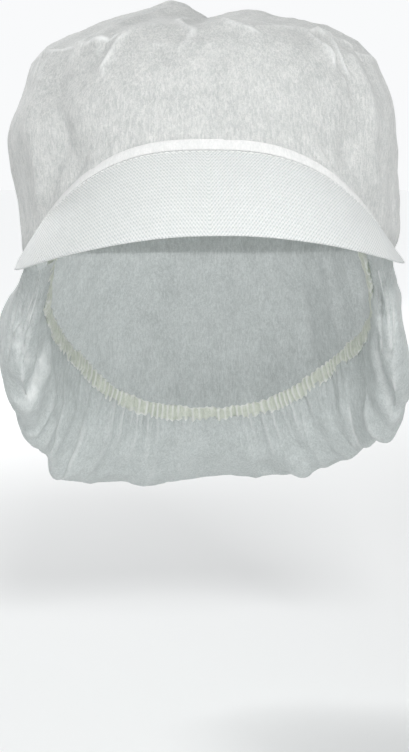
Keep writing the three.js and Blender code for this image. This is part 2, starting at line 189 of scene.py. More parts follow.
class SectionTable:
    """Sections of a shape in named columns, read on a smooth curve through its rows."""

    def __init__(self, columns: tuple[str, ...], rows: tuple[tuple[float, ...], ...]) -> None:
        """Stores the table and the slope of each column at each row.

        Args:
            columns: The names, with the one that the rows are ordered by first.
            rows: One section in each row.
        """
        data = np.array(rows, float)
        self.columns = columns
        self.key = data[:, 0]
        self.values = data
        slopes = np.empty_like(data)
        slopes[1:-1] = (data[2:] - data[:-2]) / (self.key[2:] - self.key[:-2])[:, None]
        slopes[0] = (data[1] - data[0]) / (self.key[1] - self.key[0])
        slopes[-1] = (data[-1] - data[-2]) / (self.key[-1] - self.key[-2])
        self.slopes = slopes

    def at(self, where: np.ndarray) -> dict[str, np.ndarray]:
        """Reads every column.

        Args:
            where: Places in the first column.

        Returns:
            The values of each column by its name.
        """
        i = np.clip(np.searchsorted(self.key, where, side="left") - 1, 0, len(self.key) - 2)
        span = self.key[i + 1] - self.key[i]
        t = np.clip((where - self.key[i]) / span, 0, 1)[..., None]
        start, rise = self.values[i], self.values[i + 1] - self.values[i]
        a, b = self.slopes[i] * span[..., None], self.slopes[i + 1] * span[..., None]
        made = start + a * t + (3 * rise - 2 * a - b) * t**2 + (a + b - 2 * rise) * t**3
        return {name: made[..., k] for k, name in enumerate(self.columns)}


class Crest(Enum):
    """How a fold ends at its top."""

    SOFT = "soft"
    CRISP = "crisp"


@dataclass(frozen=True)
class Fold:
    """A fold of the cloth along a path over it.

    Attributes:
        path: Places along it, an angle in degrees and a share of the way over the cloth.
        width: How far it reaches to each side, in millimetres.
        rise: Its height along the outward normal, in millimetres.
        crest: How it ends at its top.
        step: How much higher the cloth lies on its left side than on its right.
    """

    path: tuple[tuple[float, float], ...]
    width: float
    rise: float
    crest: Crest = Crest.CRISP
    step: float = 0.0

    def near(
        self, places: np.ndarray, arc: float, run: float
    ) -> tuple[np.ndarray, np.ndarray, np.ndarray]:
        """Where the fold is, seen from each point of the cloth.

        Args:
            places: Angle in degrees and share, for each point.
            arc: Millimetres of cloth for a degree.
            run: Millimetres of cloth for the whole share.

        Returns:
            Millimetres to the path, the side of it, and how strong the fold is there, as it dies out at its
            ends.
        """
        scale = np.array([arc, run])
        points = places * scale
        corners = np.array(self.path) * scale
        starts = way_along(corners)
        lengths = np.diff(starts)
        nearest = np.full(len(points), 1e9)
        side, way = np.zeros(len(points)), np.zeros(len(points))
        for k, (start, end) in enumerate(zip(corners[:-1], corners[1:])):
            along = end - start
            offset = points - start
            t = np.clip(offset @ along / (along @ along), 0, 1)
            distance = np.linalg.norm(offset - t[:, None] * along, axis=1)
            closer = distance < nearest
            turned = along[0] * offset[:, 1] - along[1] * offset[:, 0]
            side = np.where(closer, np.sign(turned), side)
            way = np.where(closer, (starts[k] + t * lengths[k]) / starts[-1], way)
            nearest = np.where(closer, distance, nearest)
        if self.crest is Crest.SOFT:
            return nearest, side, np.ones(len(points))
        return nearest, side, smoothstep(way, -0.06, 0.3) * (1 - smoothstep(way, 0.7, 1.06))

    def height(self, places: np.ndarray, arc: float, run: float) -> np.ndarray:
        """The fold's height.

        Args:
            places: Angle in degrees and share, for each point.
            arc: Millimetres of cloth for a degree.
            run: Millimetres of cloth for the whole share.

        Returns:
            Millimetres for each point.
        """
        nearest, side, strength = self.near(places, arc, run)
        if self.crest is Crest.SOFT:
            crest = np.exp(-((nearest / self.width) ** 2))
        else:
            blunt = 0.22 * self.width
            crest = np.exp(-(np.sqrt(nearest**2 + blunt**2) - blunt) / (0.62 * self.width))
        slope = side * np.tanh(nearest / (0.3 * self.width)) * np.exp(-((nearest / (2 * self.width)) ** 2))
        return (self.rise * crest + 0.5 * self.step * slope) * strength

    def whiteness(self, places: np.ndarray, arc: float, run: float) -> np.ndarray:
        """How strong the painted highlight along the fold's crest is.

        Args:
            places: Angle in degrees and share, for each point.
            arc: Millimetres of cloth for a degree.
            run: Millimetres of cloth for the whole share.

        Returns:
            From 0 to 1 for each point.
        """
        if self.crest is Crest.SOFT or self.rise <= 0:
            return np.zeros(len(places))
        nearest, _, strength = self.near(places, arc, run)
        line = 0.75 * np.exp(-((nearest / 1.1) ** 2)) + 0.25 * np.exp(-((nearest / 3.0) ** 2))
        return min(1.0, self.rise / 2) * line * strength


def fold_map(
    folds: tuple[Fold, ...], places: np.ndarray, arc: float, run: float
) -> tuple[np.ndarray, np.ndarray]:
    """Lays a set of folds over the cloth, which go on across the seam of the angle.

    Args:
        folds: The folds.
        places: Angle in degrees and share, for each point.
        arc: Millimetres of cloth for a degree.
        run: Millimetres of cloth for the whole share.

    Returns:
        Their height in millimetres and the painted highlight on their crests, for each point.
    """
    total, white = np.zeros(len(places)), np.zeros(len(places))
    for turn in (-360.0, 0.0, 360.0):
        moved = places + np.array([turn, 0.0])
        near = np.abs(moved[:, 0]) < 260
        for fold in folds:
            total[near] += fold.height(moved[near], arc, run)
            white[near] = np.maximum(white[near], fold.whiteness(moved[near], arc, run))
    return total, white


class Sheet:
    """A sheet of cloth as a mesh, with the place of each vertex on the flat cloth."""

    PLACE = "place"
    CREASE = "crease"
    CREASE_BLUR = 3

    def __init__(self, name: str, points: np.ndarray, faces: np.ndarray, places: np.ndarray) -> None:
        """Makes the mesh object.

        Args:
            name: The object's name.
            points: Vertices in millimetres.
            faces: Corners of each face, facing outwards.
            places: Two numbers for each vertex, which stay smooth over the sheet.
        """
        mesh = bpy.data.meshes.new(name)
        mesh.from_pydata((points * MM).tolist(), [], faces.tolist())
        stored = mesh.attributes.new(self.PLACE, "FLOAT_VECTOR", "POINT")
        stored.data.foreach_set("vector", np.column_stack([places, np.zeros(len(places))]).ravel())
        mesh.shade_smooth()
        self.object = bpy.data.objects.new(name, mesh)
        bpy.context.scene.collection.objects.link(self.object)

    def points(self) -> np.ndarray:
        """The vertices, in millimetres."""
        return vectors(self.object.data.vertices, "co") / MM

    def normals(self) -> np.ndarray:
        """The outward normal at each vertex."""
        return vectors(self.object.data.vertex_normals, "vector")

    def places(self) -> np.ndarray:
        """The two stored numbers of each vertex."""
        return vectors(self.object.data.attributes[self.PLACE].data, "vector")[:, :2]

    def move(self, points: np.ndarray) -> None:
        """Puts the vertices at new points, in millimetres."""
        self.object.data.vertices.foreach_set("co", (points * MM).ravel())
        self.object.data.update()

    def raise_by(self, heights: np.ndarray) -> None:
        """Moves each vertex along its normal, by millimetres."""
        self.move(self.points() + self.normals() * heights[:, None])

    def apply(self, kind: str, **settings: object) -> None:
        """Adds a modifier and applies it.

        Args:
            kind: The modifier's type.
            **settings: Its settings.
        """
        modifier = self.object.modifiers.new(kind.title(), kind)
        for name, value in settings.items():
            setattr(modifier, name, value)
        only_active(self.object)
        bpy.ops.object.modifier_apply(modifier=modifier.name)

    def subdivide(self) -> None:
        """Splits each face in four on a smooth surface."""
        self.apply("SUBSURF", levels=1, render_levels=1)

    def mark_creases(self, sharp: float, white: np.ndarray | float = 0.0) -> None:
        """Stores how sharply the sheet is folded at each vertex, 1 on a crest and -1 in a valley, for the
        painted highlight on crests and the painted shade in valleys.

        Args:
            sharp: The curvature of a full crease, in radians over a millimetre.
            white: The least painted highlight at each vertex, from 0 to 1, on the crests of known folds.
        """
        mesh = self.object.data
        points, normals = self.points(), self.normals()
        ends = np.empty(len(mesh.edges) * 2, int)
        mesh.edges.foreach_get("vertices", ends)
        first, second = ends.reshape(-1, 2).T
        way = points[second] - points[first]
        bend = ((normals[second] - normals[first]) * way).sum(axis=1) / np.maximum((way**2).sum(axis=1), 1e-6)
        total = np.bincount(first, bend, len(points)) + np.bincount(second, bend, len(points))
        count = np.bincount(ends, minlength=len(points))
        bent = total / np.maximum(count, 1)
        for _ in range(self.CREASE_BLUR):
            shared = np.bincount(first, bent[second], len(points))
            shared += np.bincount(second, bent[first], len(points))
            bent = 0.5 * bent + 0.5 * shared / np.maximum(count, 1)
        creased = np.where(white > 0.02, np.maximum(bent / sharp, white), bent / sharp)
        stored = mesh.attributes.new(self.CREASE, "FLOAT", "POINT")
        stored.data.foreach_set("value", np.clip(creased, -1, 1).astype(np.float32))

    def map_by(self, across: np.ndarray, along: np.ndarray) -> None:
        """Stores the place on the flat cloth as the mesh's UV map.

        Args:
            across: Metres over the cloth for each vertex.
            along: Metres over the cloth for each vertex.
        """
        mesh = self.object.data
        corners = np.empty(len(mesh.loops), int)
        mesh.loops.foreach_get("vertex_index", corners)
        held = mesh.uv_layers.new(name="cloth")
        held.data.foreach_set("uv", np.column_stack([across, along])[corners].ravel())


@dataclass(frozen=True)
class Slack:
    """A cloth simulation that lets a sheet, cut larger than its form, buckle into small folds of its own.

    Attributes:
        seed: Picks the unevenness that it starts from.
        share: How much longer the cloth is than its form, as a share.
        tension: Stiffness against stretching.
        bending: Stiffness against bending.
        hold: How firmly the form holds the cloth.
        gravity: Share of gravity that acts on it.
        start: Height of the unevenness, in millimetres.
        farthest: The most that it moves a vertex, in millimetres.
        frames: How many frames it runs.
    """

    seed: int
    share: float = 0.06
    tension: float = 60.0
    bending: float = 30.0
    hold: float = 0.06
    gravity: float = 0.05
    start: float = 0.8
    farthest: float = 6.0
    frames: int = 24

    def settle(self, sheet: Sheet, held: np.ndarray, loose: np.ndarray) -> None:
        """Runs the simulation and leaves its result in the mesh, with no modifier on it.

        Args:
            sheet: The cloth, which starts in its smooth form.
            held: How firmly each vertex is held, from 0 to 1.
            loose: How much of the slack each vertex has, from 0 to 1.
        """
        form = sheet.points()
        uneven = ClothNoise(self.seed).at(form / 20) + 0.5 * ClothNoise(self.seed + 1).at(form / 10)
        sheet.raise_by(self.start * uneven * loose)
        groups = []
        for name, amounts in (("held", held), ("loose", loose)):
            group = sheet.object.vertex_groups.new(name=name)
            weights = np.round(amounts, 2)
            for weight in np.unique(weights[weights > 0]):
                group.add(np.flatnonzero(weights == weight).tolist(), float(weight), "REPLACE")
            groups.append(group)
        cloth = sheet.object.modifiers.new("Cloth", "CLOTH")
        physics = cloth.settings
        physics.quality = 4
        physics.mass = 0.02
        physics.tension_stiffness = self.tension
        physics.compression_stiffness = self.tension
        physics.shear_stiffness = 0.4 * self.tension
        physics.bending_stiffness = self.bending
        physics.vertex_group_mass = "held"
        physics.pin_stiffness = self.hold
        physics.vertex_group_shrink = "loose"
        physics.shrink_min = 0.0
        physics.shrink_max = -self.share
        physics.effector_weights.gravity = self.gravity
        cloth.collision_settings.use_collision = False
        cloth.point_cache.frame_end = self.frames
        scene = bpy.context.scene
        for frame in range(1, self.frames + 1):
            scene.frame_set(frame)
        settled = sheet.object.evaluated_get(bpy.context.evaluated_depsgraph_get())
        moved = vectors(settled.data.vertices, "co") / MM - form
        sheet.object.modifiers.remove(cloth)
        for group in groups:
            sheet.object.vertex_groups.remove(group)
        scene.frame_set(1)
        distance = np.linalg.norm(moved, axis=1, keepdims=True)
        limited = self.farthest * np.tanh(distance / self.farthest)
        sheet.move(form + moved * limited / np.maximum(distance, 1e-6))
        LOG.info("%s: cloth settled, %.1f mm at most", sheet.object.name, float(limited.max()))


@dataclass(frozen=True)
class Crumple:
    """Small creases all over a cloth, in several sizes.

    Attributes:
        sizes: Size and height of the creases in millimetres, from coarse to fine.
        stretch: How long a crease is along each axis, as a share of its size.
        wander: How far the creases stray along each axis, in millimetres.
        wander_size: Millimetres from one stray to the next.
        wander_seed: Picks where they stray.
        seed: Picks the creases of the first size, and the next ones follow.
    """

    sizes: tuple[tuple[float, float], ...]
    stretch: tuple[float, float, float]
    wander: tuple[float, float, float]
    wander_size: float
    wander_seed: int
    seed: int

    def heights(self, points: np.ndarray) -> np.ndarray:
        """The creases' height.

        Args:
            points: Points of the cloth in millimetres.

        Returns:
            Millimetres for each point.
        """
        strayed = points + ClothNoise(self.wander_seed).at(points / self.wander_size)[:, None] * self.wander
        total = np.zeros(len(points))
        for k, (size, height) in enumerate(self.sizes):
            places = strayed / (size * np.array(self.stretch))
            total += height * ClothNoise(self.seed + k).ridged(places)
        return total


@dataclass(frozen=True)
class Gathers:
    """Small pleats that run out from a gathered edge, in several sizes.

    Attributes:
        sizes: Pitch, reach and height of the pleats, in millimetres.
        seed: Picks the pleats of the first size, and the next ones follow.
    """

    LENGTH = 5.0

    sizes: tuple[tuple[float, float, float], ...]
    seed: int

    def heights(self, around: np.ndarray, away: np.ndarray) -> np.ndarray:
        """The pleats' height at each point of the cloth.

        Args:
            around: Millimetres along the edge.
            away: Millimetres from the edge.

        Returns:
            Millimetres.
        """
        total = np.zeros(len(around))
        for k, (pitch, reach, height) in enumerate(self.sizes):
            wave = ClothNoise(self.seed + k).flat(around / pitch, away / (pitch * self.LENGTH))
            total += height * wave * np.exp(-((away / reach) ** 2))
        return total


def deselect_all() -> None:
    """Deselects everything, as an operator acts on all that is selected."""
    for other in bpy.context.view_layer.objects:
        other.select_set(False)


def only_active(thing: bpy.types.Object) -> None:
    """Deselects everything and makes one object the active one.

    Args:
        thing: The object.
    """
    deselect_all()
    thing.select_set(True)
    bpy.context.view_layer.objects.active = thing


def face_outwards(thing: bpy.types.Object, close: bool = False) -> None:
    """Turns the faces of a closed piece outwards.

    Args:
        thing: The piece.
        close: Whether its open ends are closed first.
    """
    only_active(thing)
    bpy.ops.object.mode_set(mode="EDIT")
    if close:
        bpy.ops.mesh.select_mode(type="VERT")
        bpy.ops.mesh.select_all(action="DESELECT")
        bpy.ops.mesh.select_non_manifold()
        bpy.ops.mesh.edge_face_add()
    bpy.ops.mesh.select_all(action="SELECT")
    bpy.ops.mesh.normals_make_consistent(inside=False)
    bpy.ops.object.mode_set(mode="OBJECT")


def grid_faces(rows: int, columns: int, start: int = 0, closed: bool = False) -> np.ndarray:
    """The faces of a grid of vertices that is stored row by row.

    Args:
        rows: Rows of vertices.
        columns: Vertices in a row.
        start: The index of the first vertex.
        closed: Whether each row joins its own start.

    Returns:
        Four corners for each face.
    """
    j = np.arange(columns if closed else columns - 1)
    after = (j + 1) % columns
    made = []
    for i in range(rows - 1):
        low, high = start + i * columns, start + (i + 1) * columns
        made.append(np.stack([low + j, low + after, high + after, high + j], axis=1))
    return np.concatenate(made)


def tube(name: str, lines: list[np.ndarray]) -> Sheet:
    """Joins the lines of points along a band in a tube.

    Args:
        name: The object's name.
        lines: Points in millimetres along the band, line by line round it.

    Returns:
        The tube, with its ends closed, facing outwards.
    """
    points = np.stack(lines, axis=1).reshape(-1, 3)
    faces = grid_faces(len(lines[0]), len(lines), closed=True)
    sheet = Sheet(name, points, faces, np.zeros((len(points), 2)))
    face_outwards(sheet.object, close=True)
    return sheet


def dress(thing: bpy.types.Object, material: bpy.types.Material, node: str | None) -> None:
    """Gives a piece its finish and its place in the frame.

    Args:
        thing: The piece.
        material: Its finish.
        node: The node of the frame that it stands for, or none where it adds to one.
    """
    thing.data.materials.append(material)
    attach(thing, "root")
    if node:
        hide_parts(node)
    LOG.info("%s: %d faces", thing.name, len(thing.data.polygons))


def add_node(
    tree: bpy.types.NodeTree,
    kind: str,
    values: dict[str | int, object] | None = None,
    links: dict[str | int, bpy.types.NodeSocket] | None = None,
    out: str | int = 0,
    **settings: object,
) -> bpy.types.NodeSocket | None:
    """Adds a shader node.

    Args:
        tree: The nodes that it joins.
        kind: Its type, without the leading ShaderNode.
        values: Numbers and colours for its inputs.
        links: Outputs of other nodes for its inputs.
        out: The output that is wanted.
        **settings: Its own settings.

    Returns:
        That output, or none where the node has no outputs.
    """
    node = tree.nodes.new("ShaderNode" + kind)
    for name, value in settings.items():
        setattr(node, name, value)
    for name, value in (values or {}).items():
        node.inputs[name].default_value = value
    for name, source in (links or {}).items():
        tree.links.new(source, node.inputs[name])
    return node.outputs[out] if node.outputs else None


def bare_material(name: str) -> bpy.types.Material:
    """Makes a material without nodes.

    Args:
        name: Its name.

    Returns:
        The material.
    """
    made = bpy.data.materials.new(name)
    made.use_nodes = True
    made.node_tree.nodes.clear()
    return made


class Emboss(Enum):
    """What is pressed into a nonwoven while it is bonded."""

    NONE = "none"
    LINEN = "linen"


@dataclass(frozen=True)
class NonwovenFinish:
    """Spunbonded polypropylene: fine filaments laid at random and bonded by heat.

    It gives the eye a matte white web, cloudy where the filaments lie denser, with short curled fibres that
    catch the light, and it lets some light through.

    Attributes:
        name: The material's name.
        dense: Colour where the web is dense.
        thin: Colour where the web is thin.
        cloud: Size of the clouds in the web, in millimetres.
        fibre: Width of a fibre, in millimetres, drawn several times too coarse so that it shows.
        fibre_length: Length of a fibre, in millimetres.
        relief: Height of the fibres, in millimetres.
        roughness: The surface's roughness.
        sheen: Weight of the fuzz on it.
        glow: Share of the light that comes through, scattered.
        see_through: Share of the web that is open.
        creased: How strong the painted highlight on the crests of its creases is, and the painted shade in
            their valleys.
        emboss: What is pressed into it.
        emboss_relief: Depth of that, in millimetres.
        groove_colour: Colour in the grooves of the emboss, darker than the web.
    """

    # Lines of the linen emboss: pitch in millimetres, lean and strength, drawn coarser so that they show.
    LINES = ((1.25, 0.56, 1.0), (1.25, -0.56, 0.5), (2.1, 1.5, 0.35))

    name: str
    dense: str
    thin: str
    cloud: float = 9.0
    fibre: float = 1.1
    fibre_length: float = 5.0
    relief: float = 0.18
    roughness: float = 0.85
    sheen: float = 0.3
    glow: float = 0.3
    see_through: float = 0.03
    creased: float = 0.0
    emboss: Emboss = Emboss.NONE
    emboss_relief: float = 0.1
    groove_colour: str = "CED4D3"

    def web(self, tree: bpy.types.NodeTree) -> tuple[bpy.types.NodeSocket, bpy.types.NodeSocket]:
        """Draws the clouds and the fibres.

        Args:
            tree: The material's nodes.

        Returns:
            How dense the web is, and how high its fibres stand, both from 0 to 1.
        """
        place = add_node(tree, "TexCoord", out="Object")
        clouds = add_node(
            tree,
            "TexNoise",
            {"Scale": 1 / (self.cloud * MM), "Detail": 3.0, "Roughness": 0.6},
            {"Vector": place},
        )
        curls = add_node(
            tree,
            "TexNoise",
            {"Scale": 1 / (self.fibre * MM), "Detail": 1.5, "Roughness": 0.6, "Distortion": 1.6},
            {"Vector": place},
        )
        turned = add_node(
            tree,
            "Mapping",
            {"Rotation": (0.5, 0.7, 0.3), "Scale": (1.0, 1.0, self.fibre / self.fibre_length)},
            {"Vector": place},
        )
        strands = add_node(
            tree,
            "TexNoise",
            {"Scale": 1.3 / (self.fibre * MM), "Detail": 1.0, "Distortion": 0.8},
            {"Vector": turned},
        )
        laid = add_node(tree, "Math", links={0: curls, 1: strands}, operation="ADD")
        fibres = add_node(tree, "MapRange", {"From Min": 0.78, "From Max": 1.26}, {"Value": laid})
        limits = {"From Min": 0.3, "From Max": 0.7, "To Max": 0.32}
        spread = add_node(tree, "MapRange", limits, {"Value": clouds})
        dense = add_node(tree, "Math", {1: 0.68}, {0: fibres, 2: spread}, operation="MULTIPLY_ADD")
        return dense, fibres

    def with_painted_crease_light(
        self, tree: bpy.types.NodeTree, colour: bpy.types.NodeSocket
    ) -> bpy.types.NodeSocket:
        """Paints highlight on the crests and paints shade in the valleys, in the web's thin colour.

        Args:
            tree: The material's nodes.
            colour: The web's colour.

        Returns:
            The colour with painted highlight and painted shade on its creases.
        """
        bend = add_node(tree, "Attribute", out="Fac", attribute_name=Sheet.CREASE)
        # The painted highlight on the crests, then the painted shade in the valleys.
        for start, end, share, tone in (
            (0.12, 1.0, 1.0, CREST_HIGHLIGHT),
            (-0.12, -1.0, 0.6, self.thin),
        ):
            limits = {"From Min": start, "From Max": end, "To Max": share * self.creased}
            bent = add_node(tree, "MapRange", limits, {"Value": bend})
            colour = add_node(
                tree, "Mix", {7: linear(tone)}, {0: bent, 6: colour}, out=2, data_type="RGBA"
            )
        return colour

    def pressed(self, tree: bpy.types.NodeTree) -> bpy.types.NodeSocket:
        """Draws the linen emboss: crossing lines that lean the other way on each half of the peak.

        Args:
            tree: The material's nodes.

        Returns:
            The height of the pattern, from 0 to 1.
        """
        cloth = add_node(tree, "UVMap", uv_map="cloth")
        parts = add_node(tree, "SeparateXYZ", links={0: cloth}).node.outputs
        across = add_node(tree, "Math", links={0: parts["X"]}, operation="ABSOLUTE")
        total = None
        for pitch, lean, share in self.LINES:
            turn = 2 * math.pi / (pitch * MM)
            shifted = add_node(tree, "Math", {1: turn * math.cos(lean)}, {0: across}, operation="MULTIPLY")
            angle = add_node(
                tree,
                "Math",
                {1: turn * math.sin(lean)},
                {0: parts["Y"], 2: shifted},
                operation="MULTIPLY_ADD",
            )
            wave = add_node(tree, "Math", links={0: angle}, operation="SINE")
            if total is not None:
                wave = add_node(tree, "Math", {1: share}, {0: wave, 2: total}, operation="MULTIPLY_ADD")
            total = wave
        return add_node(tree, "MapRange", {"From Min": -1.7, "From Max": 0.5}, {"Value": total})

    def material(self) -> bpy.types.Material:
        """Makes the material.

        Returns:
            The material, named for the finish.
        """
        made = bare_material(self.name)
        tree = made.node_tree
        dense, fibres = self.web(tree)
        tones = {6: linear(self.thin), 7: linear(self.dense)}
        colour = add_node(tree, "Mix", tones, {0: dense}, out=2, data_type="RGBA")
        if self.creased:
            colour = self.with_painted_crease_light(tree, colour)
        bump = {"Strength": 1.0, "Distance": self.relief * MM}
        normal = add_node(tree, "Bump", bump, {"Height": fibres})
        if self.emboss is Emboss.LINEN:
            pattern = self.pressed(tree)
            # The grooves of the emboss are coloured darker than the web.
            film = {6: linear(self.groove_colour)}
            colour = add_node(tree, "Mix", film, {0: pattern, 7: colour}, out=2, data_type="RGBA")
            bump = {"Strength": 1.0, "Distance": self.emboss_relief * MM}
            normal = add_node(tree, "Bump", bump, {"Height": pattern, "Normal": normal})
        face = add_node(
            tree,
            "BsdfPrincipled",
            {"Roughness": self.roughness, "Sheen Weight": self.sheen, "Sheen Roughness": 0.45, "IOR": 1.49},
            {"Base Color": colour, "Normal": normal},
        )
        through = add_node(tree, "BsdfTranslucent", links={"Color": colour, "Normal": normal})
        lit = add_node(tree, "MixShader", {0: self.glow}, {1: face, 2: through})
        gaps = add_node(tree, "BsdfTransparent")
        closed = add_node(tree, "MixShader", {0: self.see_through}, {1: lit, 2: gaps})
        add_node(tree, "OutputMaterial", links={"Surface": closed})
        return made


# Plain spunbond of about 20 g/m2: the softest and whitest of the cloths, with painted highlight on the crests
# of its creases and painted shade in their valleys.
CROWN_CLOTH = NonwovenFinish(name="spunbond_crown", dense="E8E8E6", thin="BEC1C0", creased=0.85)

# Heavier embossed nonwoven: stiff, bright and even, with the press's linen pattern.
PEAK_CLOTH = NonwovenFinish(
    name="embossed_nonwoven_peak",
    dense="F2F3F2",
    thin="E6E8E7",
    relief=0.05,
    glow=0.18,
    see_through=0.0,
    emboss=Emboss.LINEN,
    emboss_relief=0.2,
)

# The same spunbond folded double over the seam: brighter, as it lies in two plies.
BINDING_CLOTH = NonwovenFinish(
    name="folded_spunbond_binding", dense="ECECEB", thin="DCDDDC", relief=0.06, glow=0.15, see_through=0.0
)

# Lighter spunbond of the pouch: smoother and slightly glossy, with a cool green tint where it is in shade,
# and painted highlight and painted shade on its creases.
SNOOD_CLOTH = NonwovenFinish(
    name="light_spunbond_snood",
    dense="DBE0DF",
    thin="B9BFBE",
    relief=0.08,
    roughness=0.55,
    sheen=0.2,
    glow=0.3,
    see_through=0.04,
    creased=0.6,
)

# The pouch's cloth folded over the elastic: denser, and slightly yellow where it lies in layers, with painted
# highlight and painted shade on its creases.
HEM_CLOTH = NonwovenFinish(
    name="gathered_elastic_hem",
    dense="EDF0E6",
    thin="D0D6CA",
    creased=0.8,
    relief=0.08,
    see_through=0.02,
)


@dataclass(frozen=True)
class ThreadFinish:
    """Spun polyester sewing thread: white, slightly glossy and finely twisted.

    Attributes:
        name: The material's name.
        colour: Its colour.
        roughness: The surface's roughness.
        twist: Millimetres from one turn of its plies to the next.
    """

    name: str = "spun_polyester_thread"
    colour: str = "F6F7F5"
    roughness: float = 0.5
    twist: float = 0.5

    def material(self) -> bpy.types.Material:
        """Makes the material.

        Returns:
            The material, with the thread's twist as a fine bump.
        """
        made = bare_material(self.name)
        tree = made.node_tree
        place = add_node(tree, "TexCoord", out="Object")
        plies = {"Scale": 1 / (self.twist * MM), "Detail": 2.0}
        twist = add_node(tree, "TexNoise", plies, {"Vector": place})
        normal = add_node(tree, "Bump", {"Strength": 0.6, "Distance": 0.1 * MM}, {"Height": twist})
        shader = add_node(
            tree,
            "BsdfPrincipled",
            {"Base Color": linear(self.colour), "Roughness": self.roughness, "Sheen Weight": 0.2},
            {"Normal": normal},
        )
        add_node(tree, "OutputMaterial", links={"Surface": shader})
        return made


@dataclass(frozen=True)
class StudioFinish:
    """Matte painted studio board: even, pale and without gloss, lit from behind where it is far off.

    Attributes:
        name: The material's name.
        colour: The board's colour.
        shade: Its colour where it is a trace darker.
        glow: The light that comes through it far off, which hides the horizon.
        glow_from: Distance in metres at which that begins.
        glow_to: Distance in metres at which it is full.
    """

    name: str = "matte_studio_board"
    colour: str = "EFF0F0"
    shade: str = "EDEEEE"
    glow: float = 0.55
    glow_from: float = 0.6
    glow_to: float = 2.8

    def material(self) -> bpy.types.Material:
        """Makes the material.

        Returns:
            The material.
        """
        made = bare_material(self.name)
        tree = made.node_tree
        place = add_node(tree, "TexCoord", out="Object")
        uneven = add_node(tree, "TexNoise", {"Scale": 3.0}, {"Vector": place})
        tones = {6: linear(self.shade), 7: linear(self.colour)}
        colour = add_node(tree, "Mix", tones, {0: uneven}, out=2, data_type="RGBA")
        away = add_node(tree, "VectorMath", links={0: place}, out="Value", operation="LENGTH")
        limits = {"From Min": self.glow_from, "From Max": self.glow_to, "To Max": self.glow}
        glow = add_node(tree, "MapRange", limits, {"Value": away}, interpolation_type="SMOOTHSTEP")
        shader = add_node(
            tree,
            "BsdfPrincipled",
            {"Roughness": 0.95, "Emission Color": linear(BACKDROP)},
            {"Base Color": colour, "Emission Strength": glow},
        )
        add_node(tree, "OutputMaterial", links={"Surface": shader})
        return made


CROWN_SECTIONS = SectionTable(
    (
        "level", "left", "right", "front", "back", "left_height", "right_height", "front_height",
        "back_height", "corner", "spread", "square",
    ),
    (
        (0.00, 90.0, 91.5, 105.0, 100.0, -117.0, -115.0, -63.0, -118.0, 0.0, 2.7, 2.40),
        (0.10, 91.3, 93.0, 105.0, 103.0, -97.0, -99.0, -54.5, -101.0, 0.0, 2.5, 2.40),
        (0.18, 92.5, 92.2, 104.0, 105.0, -85.0, -85.0, -48.0, -88.0, 0.0, 2.3, 2.40),
        (0.26, 95.5, 91.0, 102.5, 106.0, -71.0, -71.0, -41.5, -75.0, 0.0, 2.2, 2.45),
        (0.34, 97.0, 91.8, 100.5, 106.0, -59.0, -58.0, -34.5, -62.0, 0.0, 2.0, 2.50),
        (0.42, 95.0, 91.0, 98.0, 104.0, -48.5, -47.0, -27.0, -49.0, 1.0, 2.0, 2.50),
        (0.50, 90.0, 89.0, 94.0, 100.0, -37.0, -36.5, -19.5, -37.0, 2.0, 2.0, 2.50),
        (0.58, 86.8, 84.0, 88.5, 93.5, -26.0, -25.0, -11.5, -26.0, 3.0, 2.0, 2.50),
        (0.65, 81.0, 79.0, 80.0, 85.0, -16.5, -16.5, -4.8, -17.0, 3.6, 2.0, 2.45),
        (0.73, 69.0, 70.0, 66.0, 72.0, -8.2, -8.4, -3.4, -9.0, 2.5, 2.0, 2.35),
        (0.82, 52.0, 55.0, 48.0, 54.0, -1.3, -2.0, -1.8, -4.0, 1.0, 2.0, 2.20),
        (0.90, 32.0, 34.0, 29.0, 34.0, 4.6, 1.8, -0.4, -1.0, 0.0, 2.0, 2.10),
        (0.96, 14.5, 18.0, 13.0, 15.0, 10.0, 5.2, 0.4, 0.4, 0.0, 2.0, 2.00),
        (1.00, 0.0, 0.0, 0.0, 0.0, 0.6, 0.6, 0.6, 0.6, 0.0, 2.0, 2.00),
    ),
)

# The main folds, which the frame has too.
CROWN_FOLDS = (
    Fold(((-38, 0.08), (-46, 0.56)), 8, -2.6, Crest.SOFT),
    Fold(((-54, 0.10), (-58, 0.60)), 6, 2.0, Crest.SOFT),
    Fold(((-72, 0.06), (-80, 0.34)), 6, -2.2, Crest.SOFT),
    Fold(((-96, 0.10), (-112, 0.20)), 6, -2.4, Crest.SOFT),
    Fold(((40, 0.10), (44, 0.55)), 8, -2.6, Crest.SOFT),
    Fold(((55, 0.15), (50, 0.60)), 6, 2.2, Crest.SOFT),
    Fold(((74, 0.10), (66, 0.45)), 6, -2.0, Crest.SOFT),
    Fold(((98, 0.04), (84, 0.30)), 6, 1.8, Crest.SOFT),
    Fold(((-30, 0.62), (-50, 0.93)), 6, 2.6, Crest.SOFT),
    Fold(((-4, 0.60), (-4, 0.90)), 8, -2.4, Crest.SOFT),
    Fold(((38, 0.60), (52, 0.90)), 6, 2.0, Crest.SOFT),
    Fold(((62, 0.50), (66, 0.84)), 6, -2.2, Crest.SOFT),
    Fold(((150, 0.10), (146, 0.60)), 9, -2.6, Crest.SOFT),
    Fold(((180, 0.10), (178, 0.50)), 9, 2.4, Crest.SOFT),
    Fold(((-152, 0.10), (-146, 0.60)), 9, -2.6, Crest.SOFT),
)

